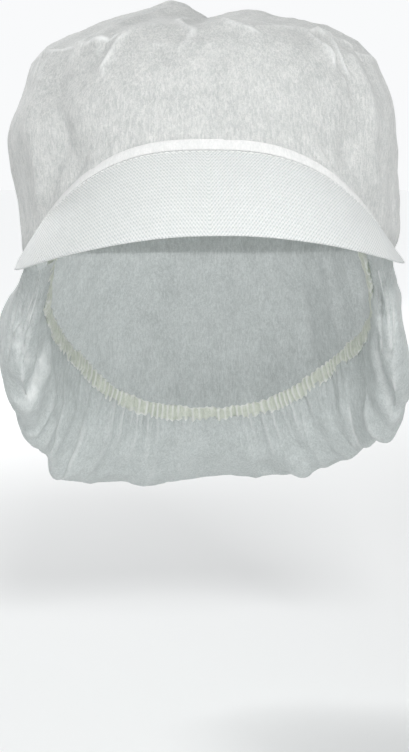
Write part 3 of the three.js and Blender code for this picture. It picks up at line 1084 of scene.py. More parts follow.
CROWN_CREASES = (
    # The edge where the front turns over to the top, and the creases that cross it, -X side first.
    Fold(((-84, 0.60), (-69.5, 0.635), (-47.5, 0.64), (-26.5, 0.612), (-14, 0.66), (-6, 0.67)), 3.4, 2.2),
    Fold(((5, 0.66), (13, 0.64), (24, 0.68), (32.5, 0.70), (53, 0.69), (68, 0.63), (84, 0.60)), 3.4, 2.2),
    Fold(((-17.5, 0.66), (-20.5, 0.62), (-23, 0.600), (-25, 0.542), (-26.5, 0.50), (-25, 0.438)), 3.4, 2.3),
    Fold(((-24, 0.64), (-28, 0.60), (-29, 0.555)), 2.2, -1.6),
    Fold(((-13, 0.93), (-9, 0.74), (-2.5, 0.618), (-3.5, 0.562), (-6, 0.50)), 2.6, 2.1),
    Fold(((-11, 0.56), (-9, 0.49), (-7.5, 0.44)), 2.4, -1.4),
    Fold(((3, 0.72), (4, 0.647), (8, 0.625), (14, 0.60)), 3.4, 1.8),
    Fold(((3.5, 0.623), (6.5, 0.585), (8, 0.54)), 2.2, -1.4),
    Fold(((10, 0.80), (16.5, 0.690), (25.5, 0.70)), 2.2, 1.6),
    Fold(((38, 0.74), (40, 0.66), (40.5, 0.598), (44, 0.56), (46, 0.50)), 2.6, 2.3),
    Fold(((31, 0.72), (35, 0.64), (37.5, 0.58), (36.5, 0.51)), 2.4, 1.8),
    Fold(((-44, 0.74), (-40, 0.64), (-43, 0.55)), 3.0, 1.4),
    Fold(((-60, 0.70), (-64, 0.60), (-62, 0.50)), 3.4, 1.3),
    Fold(((58, 0.72), (62, 0.62), (60, 0.52)), 3.2, -1.4),
    # Soft vertical shapes of the front panel's sides.
    Fold(((-36, 0.50), (-40, 0.26), (-50, 0.06)), 6, -1.2, Crest.SOFT),
    Fold(((-55, 0.53), (-52, 0.28), (-56, 0.08)), 5, 1.2, Crest.SOFT),
    Fold(((29.5, 0.42), (32, 0.30), (31.5, 0.17)), 6, -1.2, Crest.SOFT),
    Fold(((40.5, 0.50), (41, 0.38)), 4, 1.2, Crest.SOFT),
    Fold(((62, 0.36), (67, 0.27)), 5, 1.4, Crest.SOFT),
    # Short folds that fan out from the two ends of the peak's seam.
    Fold(((-21, 0.17), (-26, 0.10), (-31, 0.05)), 2.0, -0.9),
    Fold(((-30, 0.20), (-34, 0.11), (-38, 0.04)), 2.4, -0.9),
    Fold(((20, 0.16), (26, 0.08), (32, 0.03)), 2.0, -0.9),
    Fold(((30, 0.15), (33, 0.10), (37, 0.05)), 2.0, -1.0),
    Fold(((38, 0.24), (42, 0.14), (48, 0.06)), 2.6, -1.0),
)


@dataclass
class Crown:
    """The bouffant crown: one round of cloth, gathered into its hem.

    Attributes:
        arc: Millimetres of cloth for a degree of azimuth.
        run: Millimetres of cloth from hem to top.
        top_rings: Rings of faces in the round top.
        side_rows: Rows of faces from there down to the hem.
        top_level: The level where the round top ends.
        slack: The simulation of its loose cloth.
        crumple: Its small creases.
        pleat: Height of the pleats behind, in millimetres.
        gather: Height of the gathers at the hem, in millimetres.
        sharp: The curvature of a full crease.
        flat: The cut's width and length in metres; not used.
        area: The cut's area in square metres, as it is an oval; not used.
    """

    arc: float = 1.66
    run: float = 195.0
    top_rings: int = 28
    side_rows: int = 64
    top_level: float = 0.62
    slack: Slack = Slack(seed=101, share=0.09, bending=16.0)
    crumple: Crumple = Crumple(
        ((28.0, 1.4), (15.0, 0.6), (7.0, 0.2)), (0.8, 0.8, 1.5), (14.0, 9.0, 18.0), 40.0, 3, 11
    )
    pleat: float = 4.2
    gather: float = 1.1
    sharp: float = 0.34
    flat: tuple[float, float] = (0.38, 0.36)
    area: float = 0.107

    def point(self, azimuth: np.ndarray, level: np.ndarray) -> np.ndarray:
        """The crown's smooth form, without folds.

        Args:
            azimuth: Radians from the front, positive towards +X.
            level: 0 at the hem to 1 at the top.

        Returns:
            Points in millimetres.
        """
        row = CROWN_SECTIONS.at(level)
        side, ahead = np.sin(azimuth), np.cos(azimuth)
        bend = 2 / row["square"]
        across, along = np.abs(side) ** bend, np.abs(ahead) ** bend
        share = across ** row["spread"]
        side_height = np.where(side < 0, row["left_height"], row["right_height"])
        end_height = np.where(ahead > 0, row["front_height"], row["back_height"])
        corner = np.where(ahead > 0, row["corner"] * (2 * side * ahead) ** 2, 0)
        return np.stack(
            [
                np.sign(side) * np.where(side < 0, row["left"], row["right"]) * across,
                -np.sign(ahead) * np.where(ahead > 0, row["front"], row["back"]) * along,
                side_height * share + end_height * (1 - share) - corner,
            ],
            axis=-1,
        )

    def outward(self, azimuth: np.ndarray) -> np.ndarray:
        """The level direction out of the hem's cloth.

        Args:
            azimuth: Radians from the front.

        Returns:
            A direction of length one for each azimuth.
        """
        hem = np.zeros_like(azimuth)
        along = self.point(azimuth + 0.01, hem) - self.point(azimuth - 0.01, hem)
        out = np.stack([along[..., 1], -along[..., 0], hem], axis=-1)
        return out / np.linalg.norm(out, axis=-1, keepdims=True)

    def at_height(self, azimuth: np.ndarray, height: np.ndarray) -> np.ndarray:
        """The crown's wall at an azimuth and a height near its hem.

        Args:
            azimuth: Radians from the front.
            height: Millimetres.

        Returns:
            Points in millimetres.
        """
        low, high = np.zeros_like(azimuth), np.full_like(azimuth, 0.3)
        for _ in range(20):
            middle = (low + high) / 2
            below = self.point(azimuth, middle)[..., 2] < height
            low, high = np.where(below, middle, low), np.where(below, high, middle)
        return self.point(azimuth, low)

    def even_levels(self, start: float, end: float, count: int) -> np.ndarray:
        """Levels the same way apart over the cloth, on average round the crown.

        Args:
            start: The first level.
            end: The last level.
            count: How many.

        Returns:
            The levels.
        """
        levels = np.linspace(start, end, 200)
        azimuth = np.linspace(-math.pi, math.pi, 24, endpoint=False)
        points = self.point(azimuth[None, :], np.repeat(levels[:, None], 24, axis=1))
        travelled = way_along(points).mean(axis=1)
        return np.interp(np.linspace(0, travelled[-1], count), travelled, levels)

    def mesh(self) -> Sheet:
        """Lays a square of faces over the round top, and a row of faces round it for each ring below.

        Returns:
            The sheet in its smooth form, whose places are the level's distance from 1, on a disc.
        """
        n = self.top_rings
        top_levels = self.even_levels(1.0, self.top_level, n + 1)
        i, j = np.meshgrid(np.arange(-n, n + 1), np.arange(-n, n + 1), indexing="ij")
        ring = np.maximum(np.abs(i), np.abs(j))
        wide = np.abs(i) >= np.abs(j)
        safe = np.where(ring == 0, 1, np.where(wide, i, j))
        turn = np.where(wide, j / safe * math.pi / 4, math.pi / 2 - i / safe * math.pi / 4)
        angle = np.where(np.where(wide, i, j) < 0, turn + math.pi, turn)
        azimuth, level = angle.ravel(), top_levels[ring.ravel()]
        top_faces = grid_faces(2 * n + 1, 2 * n + 1)
        edge = np.flatnonzero(ring.ravel() == n)
        edge = edge[np.argsort(np.mod(azimuth[edge] + 1e-6, 2 * math.pi))]
        columns = len(edge)
        side_levels = self.even_levels(self.top_level, 0.0, self.side_rows + 1)[1:]
        around = np.mod(azimuth[edge], 2 * math.pi)
        azimuth = np.concatenate([azimuth, np.tile(around, self.side_rows)])
        level = np.concatenate([level, np.repeat(side_levels, columns)])
        first = (2 * n + 1) ** 2
        after = np.roll(np.arange(columns), -1)
        join = np.stack([edge, edge[after], first + after, first + np.arange(columns)], axis=1)
        below = grid_faces(self.side_rows, columns, first, closed=True)
        faces = np.concatenate([top_faces, join, below])
        points = self.point(azimuth, level)
        a, b, c, d = (points[faces[:, k]] for k in range(4))
        out = np.cross(c - a, d - b)
        middle = (a + b + c + d) / 4 - np.array([0, 0, -60.0])
        inward = (out * middle).sum(axis=1) < 0
        faces[inward] = faces[inward][:, ::-1]
        disc = (1 - level)[:, None] * np.stack([np.sin(azimuth), np.cos(azimuth)], axis=1)
        return Sheet("crown_cloth", points, faces, disc)

    def cloth_places(self, sheet: Sheet) -> tuple[np.ndarray, np.ndarray]:
        """The azimuth in degrees and the level of each vertex."""
        disc = sheet.places()
        return np.degrees(np.arctan2(disc[:, 0], disc[:, 1])), 1 - np.linalg.norm(disc, axis=1)

    def fold(self, sheet: Sheet, folds: tuple[Fold, ...]) -> np.ndarray:
        """Raises a set of folds on the crown, which end at its hem and fade towards its top.

        Args:
            sheet: The crown's cloth.
            folds: The folds.

        Returns:
            The painted highlight on their crests at each vertex.
        """
        azimuth, level = self.cloth_places(sheet)
        fade = smoothstep(level, 0.0, 0.06) * (1 - 0.7 * smoothstep(level, 0.94, 1.0))
        heights, white = fold_map(folds, np.stack([azimuth, level], axis=1), self.arc, self.run)
        sheet.raise_by(heights * fade)
        return white * fade

    def settle(self, sheet: Sheet) -> None:
        """Lets the loose cloth buckle, while the hem is held and the flat front panel stays flat.

        Args:
            sheet: The crown's cloth.
        """
        azimuth, level = self.cloth_places(sheet)
        panel = (1 - smoothstep(np.abs(azimuth), 28, 52)) * (1 - smoothstep(level, 0.48, 0.66))
        held = np.where(level < 0.03, 1.0, 0.3 + 0.5 * panel)
        self.slack.settle(sheet, held, (1 - panel) * smoothstep(level, 0.0, 0.05))

    def small_folds(self, sheet: Sheet) -> np.ndarray:
        """The small creases, the gathers at the hem and the pleats behind.

        Args:
            sheet: The crown's cloth.

        Returns:
            Their height in millimetres at each vertex.
        """
        azimuth, level = self.cloth_places(sheet)
        points = sheet.points()
        side = smoothstep(np.abs(azimuth), 24, 44)
        behind = smoothstep(np.abs(azimuth), 60, 95)
        loose = 0.12 + 0.5 * side + 0.5 * smoothstep(level, 0.5, 0.66) + 0.8 * behind
        loose *= 0.25 + 0.75 * smoothstep(level, 0.02, 0.12)
        around, up = azimuth * self.arc, level * self.run
        gathers = ClothNoise(21).flat(around / 7, up / 40)
        gathers += 0.6 * ClothNoise(22).flat(around / 3.6, up / 30)
        gathers *= (1 - smoothstep(level, 0.0, 0.14)) * smoothstep(level, 0.0, 0.02)
        drift = 8 * ClothNoise(24).at(points / 45)
        pleats = behind * ClothNoise(25).flat((around + drift) / 11, up / 70)
        pleats *= (1 - smoothstep(level, 0.08, 0.5)) * smoothstep(level, 0.0, 0.05)
        return self.crumple.heights(points) * loose + self.gather * gathers + self.pleat * pleats

    def build(self) -> bpy.types.Object:
        """Makes the crown with its folds and dresses it.

        Returns:
            The crown.
        """
        sheet = self.mesh()
        self.fold(sheet, CROWN_FOLDS)
        self.settle(sheet)
        sheet.subdivide()
        white = self.fold(sheet, CROWN_CREASES)
        points = sheet.points()
        sheet.raise_by(self.small_folds(sheet))
        # Patchy painted highlight on the known crests, and painted highlight and shade by curvature
        # everywhere.
        sheet.mark_creases(self.sharp, white * np.clip(0.8 + 0.9 * ClothNoise(23).at(points / 8), 0.2, 1))
        dress(sheet.object, CROWN_CLOTH.material(), "crown")
        return sheet.object


@dataclass
class Peak:
    """The stiff peak: a crescent of embossed nonwoven with two points.

    Attributes:
        half_width: From its middle to each point.
        middle: Where its middle is across.
        reach: From the line between its points to its foremost edge.
        points_y: Where its points lie.
        front_height: Height of its foremost edge.
        end_drop: How much lower its points are.
        tilt: How much higher its +X point is than its middle.
        end_azimuth: Where its seam ends, in degrees.
        bulge: How far it is crowned between its edges.
        point_flare: How far the points stand off the crown.
        point_drop: How much they hang.
        wall: Thickness of the cloth.
        offset: From the crown's cloth to the peak's.
        columns: Faces along it.
        rows: Faces across it.
        flat: The cut's width and length in metres; not used.
        area: The cut's area in square metres; not used.
    """

    crown: Crown
    half_width: float = 93.0
    middle: float = 1.2
    reach: float = 107.0
    points_y: float = -35.0
    front_height: float = -99.6
    end_drop: float = 18.8
    tilt: float = 1.6
    end_azimuth: float = 71.5
    bulge: float = 2.2
    point_flare: float = 3.0
    point_drop: float = 4.6
    wall: float = 0.7
    offset: float = 1.2
    columns: int = 300
    rows: int = 44
    flat: tuple[float, float] = (0.26, 0.09)
    area: float = 0.0105

    def point(self, along: np.ndarray, down: np.ndarray) -> np.ndarray:
        """The middle of the peak's cloth.

        Args:
            along: 0 at the -X point to 1 at the +X point.
            down: 0 at the seam to 1 at the free edge.

        Returns:
            Points in millimetres.
        """
        side = along * 2 - 1
        azimuth = side * math.radians(self.end_azimuth)
        end = smoothstep(np.abs(side), 0.8, 1.0)
        out = self.crown.outward(azimuth)
        seam = self.crown.point(azimuth, np.zeros_like(azimuth))
        seam += out * (self.offset + self.point_flare * end)[..., None]
        seam[..., 2] -= self.point_drop * end
        swing = side * math.pi / 2
        edge = np.stack(
            [
                self.middle + self.half_width * np.sin(swing),
                self.points_y - self.reach * np.cos(swing),
                self.front_height - self.end_drop * np.sin(swing) ** 2 + self.tilt * np.sin(swing),
            ],
            axis=-1,
        )
        up = out + np.array([0, 0, 1.0])
        up /= np.linalg.norm(up, axis=-1, keepdims=True)
        bulge = 4 * down * (1 - down) * self.bulge * np.cos(swing)
        return seam + (edge - seam) * down[..., None] + up * bulge[..., None]

    def build(self) -> bpy.types.Object:
        """Makes the peak with its cut edge and slight waves, and dresses it.

        Returns:
            The peak.
        """
        along, down = np.meshgrid(np.linspace(0, 1, self.columns + 1), np.linspace(0, 1, self.rows + 1))
        grid = self.point(along, down)
        across = way_along(grid, axis=1)
        across = (across - across[:, [self.columns // 2]]).ravel()
        fall, along, down = way_along(grid).ravel(), along.ravel(), down.ravel()
        faces = grid_faces(self.rows + 1, self.columns + 1)[:, ::-1]
        sheet = Sheet("peak_cloth", grid.reshape(-1, 3), faces, np.stack([along, down], axis=1))
        sheet.map_by(across * MM, fall * MM)
        noise = ClothNoise(31)
        waves = 0.9 * noise.flat(across / 38, fall / 60)
        near_seam = 0.35 * noise.flat(across / 14, fall / 30, 5) * (1 - down)
        near_edge = 0.24 * noise.flat(across / 9, fall / 50, 9) * down**6
        sheet.raise_by((waves + near_seam + near_edge) * smoothstep(down, 0.0, 0.12))
        sheet.apply("SOLIDIFY", thickness=self.wall * MM, offset=0.0, use_even_offset=True)
        dress(sheet.object, PEAK_CLOTH.material(), "peak")
        return sheet.object


@dataclass
class PeakBinding:
    """The folded band over the peak's seam, widest at the front and gone at its ends.

    Attributes:
        height: Its height at the front.
        end_height: Its height at its ends.
        lift: Its lower edge above the seam.
        end_azimuth: Where it ends, in degrees.
        offset: From the crown's cloth to the band's middle.
        puff: Half the thickness of the fold.
        columns: Faces along it.
        sides: Faces round it.
        flat: The folded band's width and length in metres; not used.
        area: Its area in square metres, as its ends taper; not used.
    """

    crown: Crown
    height: float = 5.0
    end_height: float = 0.5
    lift: float = 0.2
    end_azimuth: float = 64.0
    offset: float = 1.2
    puff: float = 0.6
    columns: int = 360
    sides: int = 16
    flat: tuple[float, float] = (0.22, 0.0105)
    area: float = 0.0010

    def band(self, side: np.ndarray, height: np.ndarray) -> np.ndarray:
        """A place on the band's middle.

        Args:
            side: -1 at the -X end to 1 at the +X end.
            height: 0 at the lower edge to 1 at the fold.

        Returns:
            Points in millimetres.
        """
        azimuth = side * math.radians(self.end_azimuth)
        tall = self.end_height + (self.height - self.end_height) * np.cos(side * math.pi / 2) ** 0.7
        hem = self.crown.point(azimuth, np.zeros_like(azimuth))[..., 2]
        wall = self.crown.at_height(azimuth, hem + self.lift + tall * height)
        lies = self.offset * (1 - 0.9 * height)
        return wall + self.crown.outward(azimuth) * lies[..., None]

    def build(self) -> bpy.types.Object:
        """Makes the band as a flattened tube with small gathers, and dresses it.

        Returns:
            The band.
        """
        side = np.linspace(-1, 1, self.columns + 1)
        travelled = side * self.end_azimuth * self.crown.arc
        out = self.crown.outward(side * math.radians(self.end_azimuth))
        slim = 0.25 + 0.75 * np.cos(side * math.pi / 2) ** 0.6
        lines = []
        for k in range(self.sides):
            angle = 2 * math.pi * k / self.sides
            height = np.full_like(side, 0.5 - 0.5 * math.cos(angle))
            ripple = 0.28 * ClothNoise(41).flat(travelled / 5.5, height * 1.5) * (height > 0.2)
            rounded = self.puff * math.sin(angle) * slim * (1 - 0.65 * height)
            lines.append(self.band(side, height) + out * (rounded + ripple * (1 - height))[:, None])
        sheet = tube("peak_binding_cloth", lines)
        dress(sheet.object, BINDING_CLOTH.material(), "peak_binding")
        return sheet.object


POUCH_SECTIONS = SectionTable(
    (
        "turn", "shoulder_out", "shoulder_height", "belly_out", "belly_height", "low_out", "low_height",
        "bottom_out", "bottom_height", "inner_out", "inner_height", "rim_out", "rim_height",
    ),
    (
        (-114, -1.2, -113, -1.6, -117.0, -2.6, -119.5, -4, -120.5, -5.5, -119.5, -11.0, -112),
        (-101, 3.0, -124, 8.5, -138.0, 8.0, -157.0, 1, -168.0, -8.0, -158.0, -11.0, -138),
        (-88, 6.0, -133, 13.5, -157.0, 9.5, -184.0, -1, -198.0, -11.0, -182.0, -14.0, -154),
        (-66, 6.0, -137, 12.0, -166.0, 7.5, -201.0, -1, -225.0, -14.0, -206.0, -20.0, -174),
        (-46, 5.0, -138, 14.0, -170.0, 17.0, -210.0, 7, -241.0, -17.0, -223.0, -28.0, -192),
        (0, 6.0, -138, 17.0, -172.0, 19.0, -210.0, 3, -243.0, -18.0, -229.0, -33.0, -202),
        (40, 5.0, -138, 13.0, -170.0, 13.0, -205.0, 0, -234.0, -18.0, -220.0, -29.0, -192),
        (66, 4.0, -136, 9.0, -165.0, 10.0, -198.0, -1, -218.0, -14.0, -202.0, -19.0, -173),
        (88, 2.5, -131, 5.5, -155.0, 10.0, -182.0, 2, -197.0, -7.0, -180.0, -10.0, -152),
        (101, 1.5, -122, 2.5, -134.0, 4.0, -149.0, 0, -159.0, -7.0, -150.0, -9.5, -135),
        (114, -1.2, -113, -1.6, -117.0, -2.6, -119.5, -4, -120.5, -5.5, -119.5, -11.0, -112),
    ),
)

# The hanging pleats, which the frame has too.
POUCH_FOLDS = (
    Fold(((-93, 0.20), (-88, 0.60)), 5, -2.0, Crest.SOFT),
    Fold(((-74, 0.25), (-78, 0.75)), 6, -3.2, Crest.SOFT),
    Fold(((-50, 0.10), (-54, 0.70)), 7, -2.6, Crest.SOFT),
    Fold(((-22, 0.10), (-18, 0.80)), 8, -2.6, Crest.SOFT),
    Fold(((8, 0.10), (4, 0.70)), 8, 2.4, Crest.SOFT),
    Fold(((28, 0.15), (32, 0.80)), 7, -2.8, Crest.SOFT),
    Fold(((54, 0.10), (52, 0.65)), 7, -2.6, Crest.SOFT),
    Fold(((76, 0.20), (80, 0.75)), 6, -3.0, Crest.SOFT),
    Fold(((95, 0.25), (90, 0.60)), 5, -2.0, Crest.SOFT),
)

POUCH_CREASES = (
    # The lobe at each temple, which hangs over the bag behind it.
    Fold(((-93, 1.0), (-95, 0.84), (-95, 0.77), (-93, 0.68), (-90, 0.55)), 5, 1.2, Crest.CRISP, -5.0),
    Fold(((96, 1.0), (93, 0.84), (90, 0.72), (86, 0.58)), 5, 1.2, Crest.CRISP, 4.5),
    # Creases on the side that faces the front, -X side first.
    Fold(((-108, 0.45), (-104, 0.62), (-98, 0.80)), 2.4, 2.0),
    Fold(((-110, 0.30), (-102, 0.48), (-95, 0.55)), 2.2, 1.9),
    Fold(((-113, 0.67), (-109, 0.637), (-106, 0.621), (-102, 0.57)), 1.5, 1.5),
    Fold(((-111, 0.77), (-107, 0.683), (-104, 0.658), (-100, 0.63)), 1.5, 1.5),
    Fold(((-111, 0.55), (-105, 0.529), (-99, 0.50)), 1.5, 1.5),
    Fold(((-101, 0.44), (-103, 0.60), (-100, 0.69)), 1.6, 1.3),
    Fold(((-94, 0.93), (-95, 0.842), (-94, 0.78), (-94, 0.70)), 1.8, 1.8),
    Fold(((-98, 0.88), (-93, 0.72), (-95, 0.58)), 2.8, 2.0),
    Fold(((-86, 0.90), (-84, 0.74), (-80, 0.60)), 3.0, -2.2),
    Fold(((-76, 0.92), (-72, 0.78), (-66, 0.64)), 3.0, 2.0),
    Fold(((-60, 0.90), (-56, 0.76), (-50, 0.66)), 2.6, 1.6),
    Fold(((108, 0.40), (102, 0.62), (96, 0.80)), 2.4, 2.0),
    Fold(((110, 0.30), (103, 0.42), (93, 0.50)), 2.2, 1.7),
    Fold(((113, 0.52), (108, 0.596), (104, 0.69)), 1.5, 1.5),
    Fold(((109, 0.83), (103, 0.779), (97, 0.77)), 1.5, 1.4),
    Fold(((92, 0.62), (86, 0.55), (78, 0.57)), 1.6, 1.3),
    Fold(((84, 0.90), (80, 0.74), (76, 0.60)), 3.0, -2.0),
    Fold(((72, 0.90), (66, 0.76), (60, 0.66)), 2.8, 1.8),
    # Pleats on the back.
    Fold(((-44, 0.10), (-36, 0.26), (-39, 0.42)), 5.0, 1.6, Crest.SOFT),
    Fold(((-2, 0.08), (-9, 0.22), (-5, 0.34)), 5.0, 1.4, Crest.SOFT),
    Fold(((14, 0.22), (21, 0.38), (17, 0.56)), 5.0, 1.6, Crest.SOFT),
    Fold(((46, 0.10), (39, 0.24), (45, 0.36)), 5.0, 1.4, Crest.SOFT),
)


@dataclass
class Snood:
    """The hair pouch: cloth lapped inside the crown's hem, hanging in a bag and gathered into its elastic.

    Attributes:
        turn: How far it goes round from the back to each temple, in degrees.
        lap_level: How far up the crown its top edge is.
        lap: From the crown's cloth to its own, inwards.
        neck_drop: How far below the hem it is still inside it.
        hem_back: From the middle of the elastic hem back to the end of its own cloth.
        arc: Millimetres of cloth for a degree of turn.
        run: Millimetres of cloth from the top edge to the rim.
        columns: Faces round it.
        rows: Faces down it.
        slack: The simulation of its loose cloth.
        crumple: Its small creases.
        rim_gathers: The gathers that its elastic draws.
        hem_gathers: The gathers under the crown's hem.
        sharp: The curvature of a full crease.
        flat: The cut's width and length in metres; not used.
        area: The cut's area in square metres; not used.
    """

    LAP_ROWS = 3
    LAP_SHARE = 0.06

    crown: Crown
    turn: float = 114.0
    lap_level: float = 0.05
    lap: float = 1.0
    neck_drop: float = 3.0
    hem_back: float = 1.5
    arc: float = 1.75
    run: float = 150.0
    columns: int = 216
    rows: int = 78
    slack: Slack = Slack(seed=111, share=0.12, bending=8.0, gravity=0.1)
    crumple: Crumple = Crumple(
        ((26.0, 2.4), (13.0, 1.1), (6.0, 0.35)), (0.85, 0.85, 1.4), (12.0, 9.0, 16.0), 36.0, 5, 81
    )
    rim_gathers: Gathers = Gathers(((4.6, 16.0, 1.35), (8.5, 34.0, 2.4), (16.0, 62.0, 3.9)), 61)
    hem_gathers: Gathers = Gathers(((6.0, 12.0, 0.84), (12.0, 45.0, 3.08), (22.0, 90.0, 3.64)), 71)
    sharp: float = 0.44
    flat: tuple[float, float] = (0.52, 0.24)
    area: float = 0.075

    def stations(self, turn: np.ndarray) -> tuple[np.ndarray, np.ndarray, np.ndarray]:
        """The places that each section passes through, from inside the hem round to the rim.

        Args:
            turn: Radians from the back.

        Returns:
            The stations, the middle of the elastic hem, and the way into it.
        """
        row = POUCH_SECTIONS.at(np.degrees(turn))
        azimuth = math.pi - turn
        hem = self.crown.point(azimuth, np.zeros_like(azimuth))
        out = self.crown.outward(azimuth)

        def station(outwards: np.ndarray, height: np.ndarray) -> np.ndarray:
            """A place at a distance out from the hem, at a height."""
            level = np.stack([hem[..., 0], hem[..., 1], height], axis=-1)
            return level + out * np.asarray(outwards)[..., None]

        inside = np.full_like(turn, -self.lap)
        made = [station(inside, hem[..., 2]), station(inside, hem[..., 2] - self.neck_drop)]
        for name in ("shoulder", "belly", "low", "bottom", "inner"):
            made.append(station(row[name + "_out"], row[name + "_height"]))
        rim = station(row["rim_out"], row["rim_height"])
        inward = rim - made[-1]
        inward /= np.linalg.norm(inward, axis=-1, keepdims=True)
        made.append(rim - inward * self.hem_back)
        return np.stack(made), rim, inward

    def sections(self, turn: np.ndarray, shares: np.ndarray) -> np.ndarray:
        """Points along each section, the same way apart.

        Args:
            turn: Radians from the back, one for each section.
            shares: Shares of the way from the hem to the rim.

        Returns:
            Points in millimetres, by share and section.
        """
        knots, _, _ = self.stations(turn)
        ends = [2 * knots[:1] - knots[1:2], knots, 2 * knots[-1:] - knots[-2:-1]]
        knots = np.concatenate(ends)
        made = []
        for k in range(len(knots) - 3):
            before, start, end, after = knots[k : k + 4]
            gaps = [
                np.maximum(np.linalg.norm(b - a, axis=-1, keepdims=True) ** 0.5, 1e-6)
                for a, b in ((before, start), (start, end), (end, after))
            ]
            rise = end - start
            pace = rise / gaps[1]
            leave = (start - before) / gaps[0] - (end - before) / (gaps[0] + gaps[1]) + pace
            arrive = pace - (after - start) / (gaps[1] + gaps[2]) + (after - end) / gaps[2]
            leave *= gaps[1]
            arrive *= gaps[1]
            square = 3 * rise - 2 * leave - arrive
            cube = leave + arrive - 2 * rise
            for t in np.arange(0, 1, 1 / 20):
                made.append(start + leave * t + square * t**2 + cube * t**3)
        made.append(knots[-2])
        curve = np.stack(made)
        travelled = way_along(curve)
        points = np.empty((len(shares), len(turn), 3))
        for column in range(len(turn)):
            way = shares * travelled[-1, column]
            for axis in range(3):
                points[:, column, axis] = np.interp(way, travelled[:, column], curve[:, column, axis])
        return points

    def mesh(self) -> Sheet:
        """Makes the smooth bag.

        Returns:
            The sheet, whose places are the turn in degrees and the share of the way to the rim.
        """
        turn = np.radians(np.linspace(self.turn, -self.turn, self.columns + 1))
        azimuth = math.pi - turn
        top = self.crown.point(azimuth, np.full_like(azimuth, self.lap_level))
        top -= self.crown.outward(azimuth) * self.lap
        hem, _, _ = self.stations(turn)
        lapped = np.arange(self.LAP_ROWS) / self.LAP_ROWS
        lap_rows = top + (hem[0] - top) * lapped[:, None, None]
        shares = np.linspace(0, 1, self.rows + 1 - self.LAP_ROWS)
        points = np.concatenate([lap_rows, self.sections(turn, shares)])
        share = np.concatenate([lapped * self.LAP_SHARE, self.LAP_SHARE + (1 - self.LAP_SHARE) * shares])
        turns, downs = np.meshgrid(np.degrees(turn), share)
        faces = grid_faces(len(points), self.columns + 1)
        flat = points.reshape(-1, 3)
        places = np.stack([turns.ravel(), downs.ravel()], axis=1)
        return Sheet("snood_cloth", flat, faces, places)

    def fold(self, sheet: Sheet, folds: tuple[Fold, ...]) -> np.ndarray:
        """Raises a set of folds on the pouch, which end at the crown's hem and at the rim.

        Args:
            sheet: The pouch's cloth.
            folds: The folds.

        Returns:
            The painted highlight on their crests at each vertex.
        """
        places = sheet.places()
        share = places[:, 1]
        fade = smoothstep(share, 0.08, 0.22) * (1 - smoothstep(share, 0.92, 0.99))
        heights, white = fold_map(folds, places, self.arc, self.run)
        sheet.raise_by(heights * fade)
        return white * fade

    def settle(self, sheet: Sheet) -> None:
        """Lets the bag buckle, while it is held at the crown's hem, the rim and the temples.

        Args:
            sheet: The pouch's cloth.
        """
        turn, share = sheet.places().T
        edges = np.maximum(1 - smoothstep(share, self.LAP_SHARE, 0.16), smoothstep(share, 0.93, 0.99))
        edges = np.maximum(edges, smoothstep(np.abs(turn), self.turn - 7, self.turn - 2))
        self.slack.settle(sheet, 0.3 + 0.7 * edges, 1 - edges)

    def small_folds(self, sheet: Sheet) -> np.ndarray:
        """The small creases and the gathers at the rim and under the crown's hem.

        Args:
            sheet: The pouch's cloth.

        Returns:
            Their height in millimetres at each vertex.
        """
        turn, share = sheet.places().T
        points = sheet.points()
        around = turn * self.arc
        wander = 6 * ClothNoise(51).at(points / 30)
        from_rim = (1 - share) * self.run
        from_hem = np.maximum(share - self.LAP_SHARE, 0) * self.run
        drawn = np.sin(2 * math.pi * (around + 1.6 * wander) / 5.2)
        drawn += 0.5 * np.sin(2 * math.pi * (around - 1.3 * wander) / 3.7)
        gathers = self.rim_gathers.heights(around + wander, from_rim)
        gathers += 0.25 * drawn * np.exp(-((from_rim / 15) ** 2))
        gathers += self.hem_gathers.heights(around + wander, from_hem) * smoothstep(share, 0.05, 0.1)
        fade = smoothstep(share, self.LAP_SHARE, 0.2) * (1 - 0.7 * smoothstep(share, 0.85, 1.0))
        return self.crumple.heights(points) * fade + gathers

    def build(self) -> bpy.types.Object:
        """Makes the pouch with its pleats, gathers and creases, and dresses it.

        Returns:
            The pouch.
        """
        sheet = self.mesh()
        self.fold(sheet, POUCH_FOLDS)
        self.settle(sheet)
        sheet.subdivide()
        white = self.fold(sheet, POUCH_CREASES)
        points = sheet.points()
        sheet.raise_by(self.small_folds(sheet))
        # The pouch is shaped from its inner side, and only then turned to face outwards.
        sheet.object.data.flip_normals()
        # Patchy painted highlight on the known crests, and painted highlight and shade by curvature
        # everywhere.
        sheet.mark_creases(self.sharp, white * np.clip(0.8 + 0.9 * ClothNoise(53).at(points / 6), 0.2, 1))
        dress(sheet.object, SNOOD_CLOTH.material(), "snood")
        return sheet.object


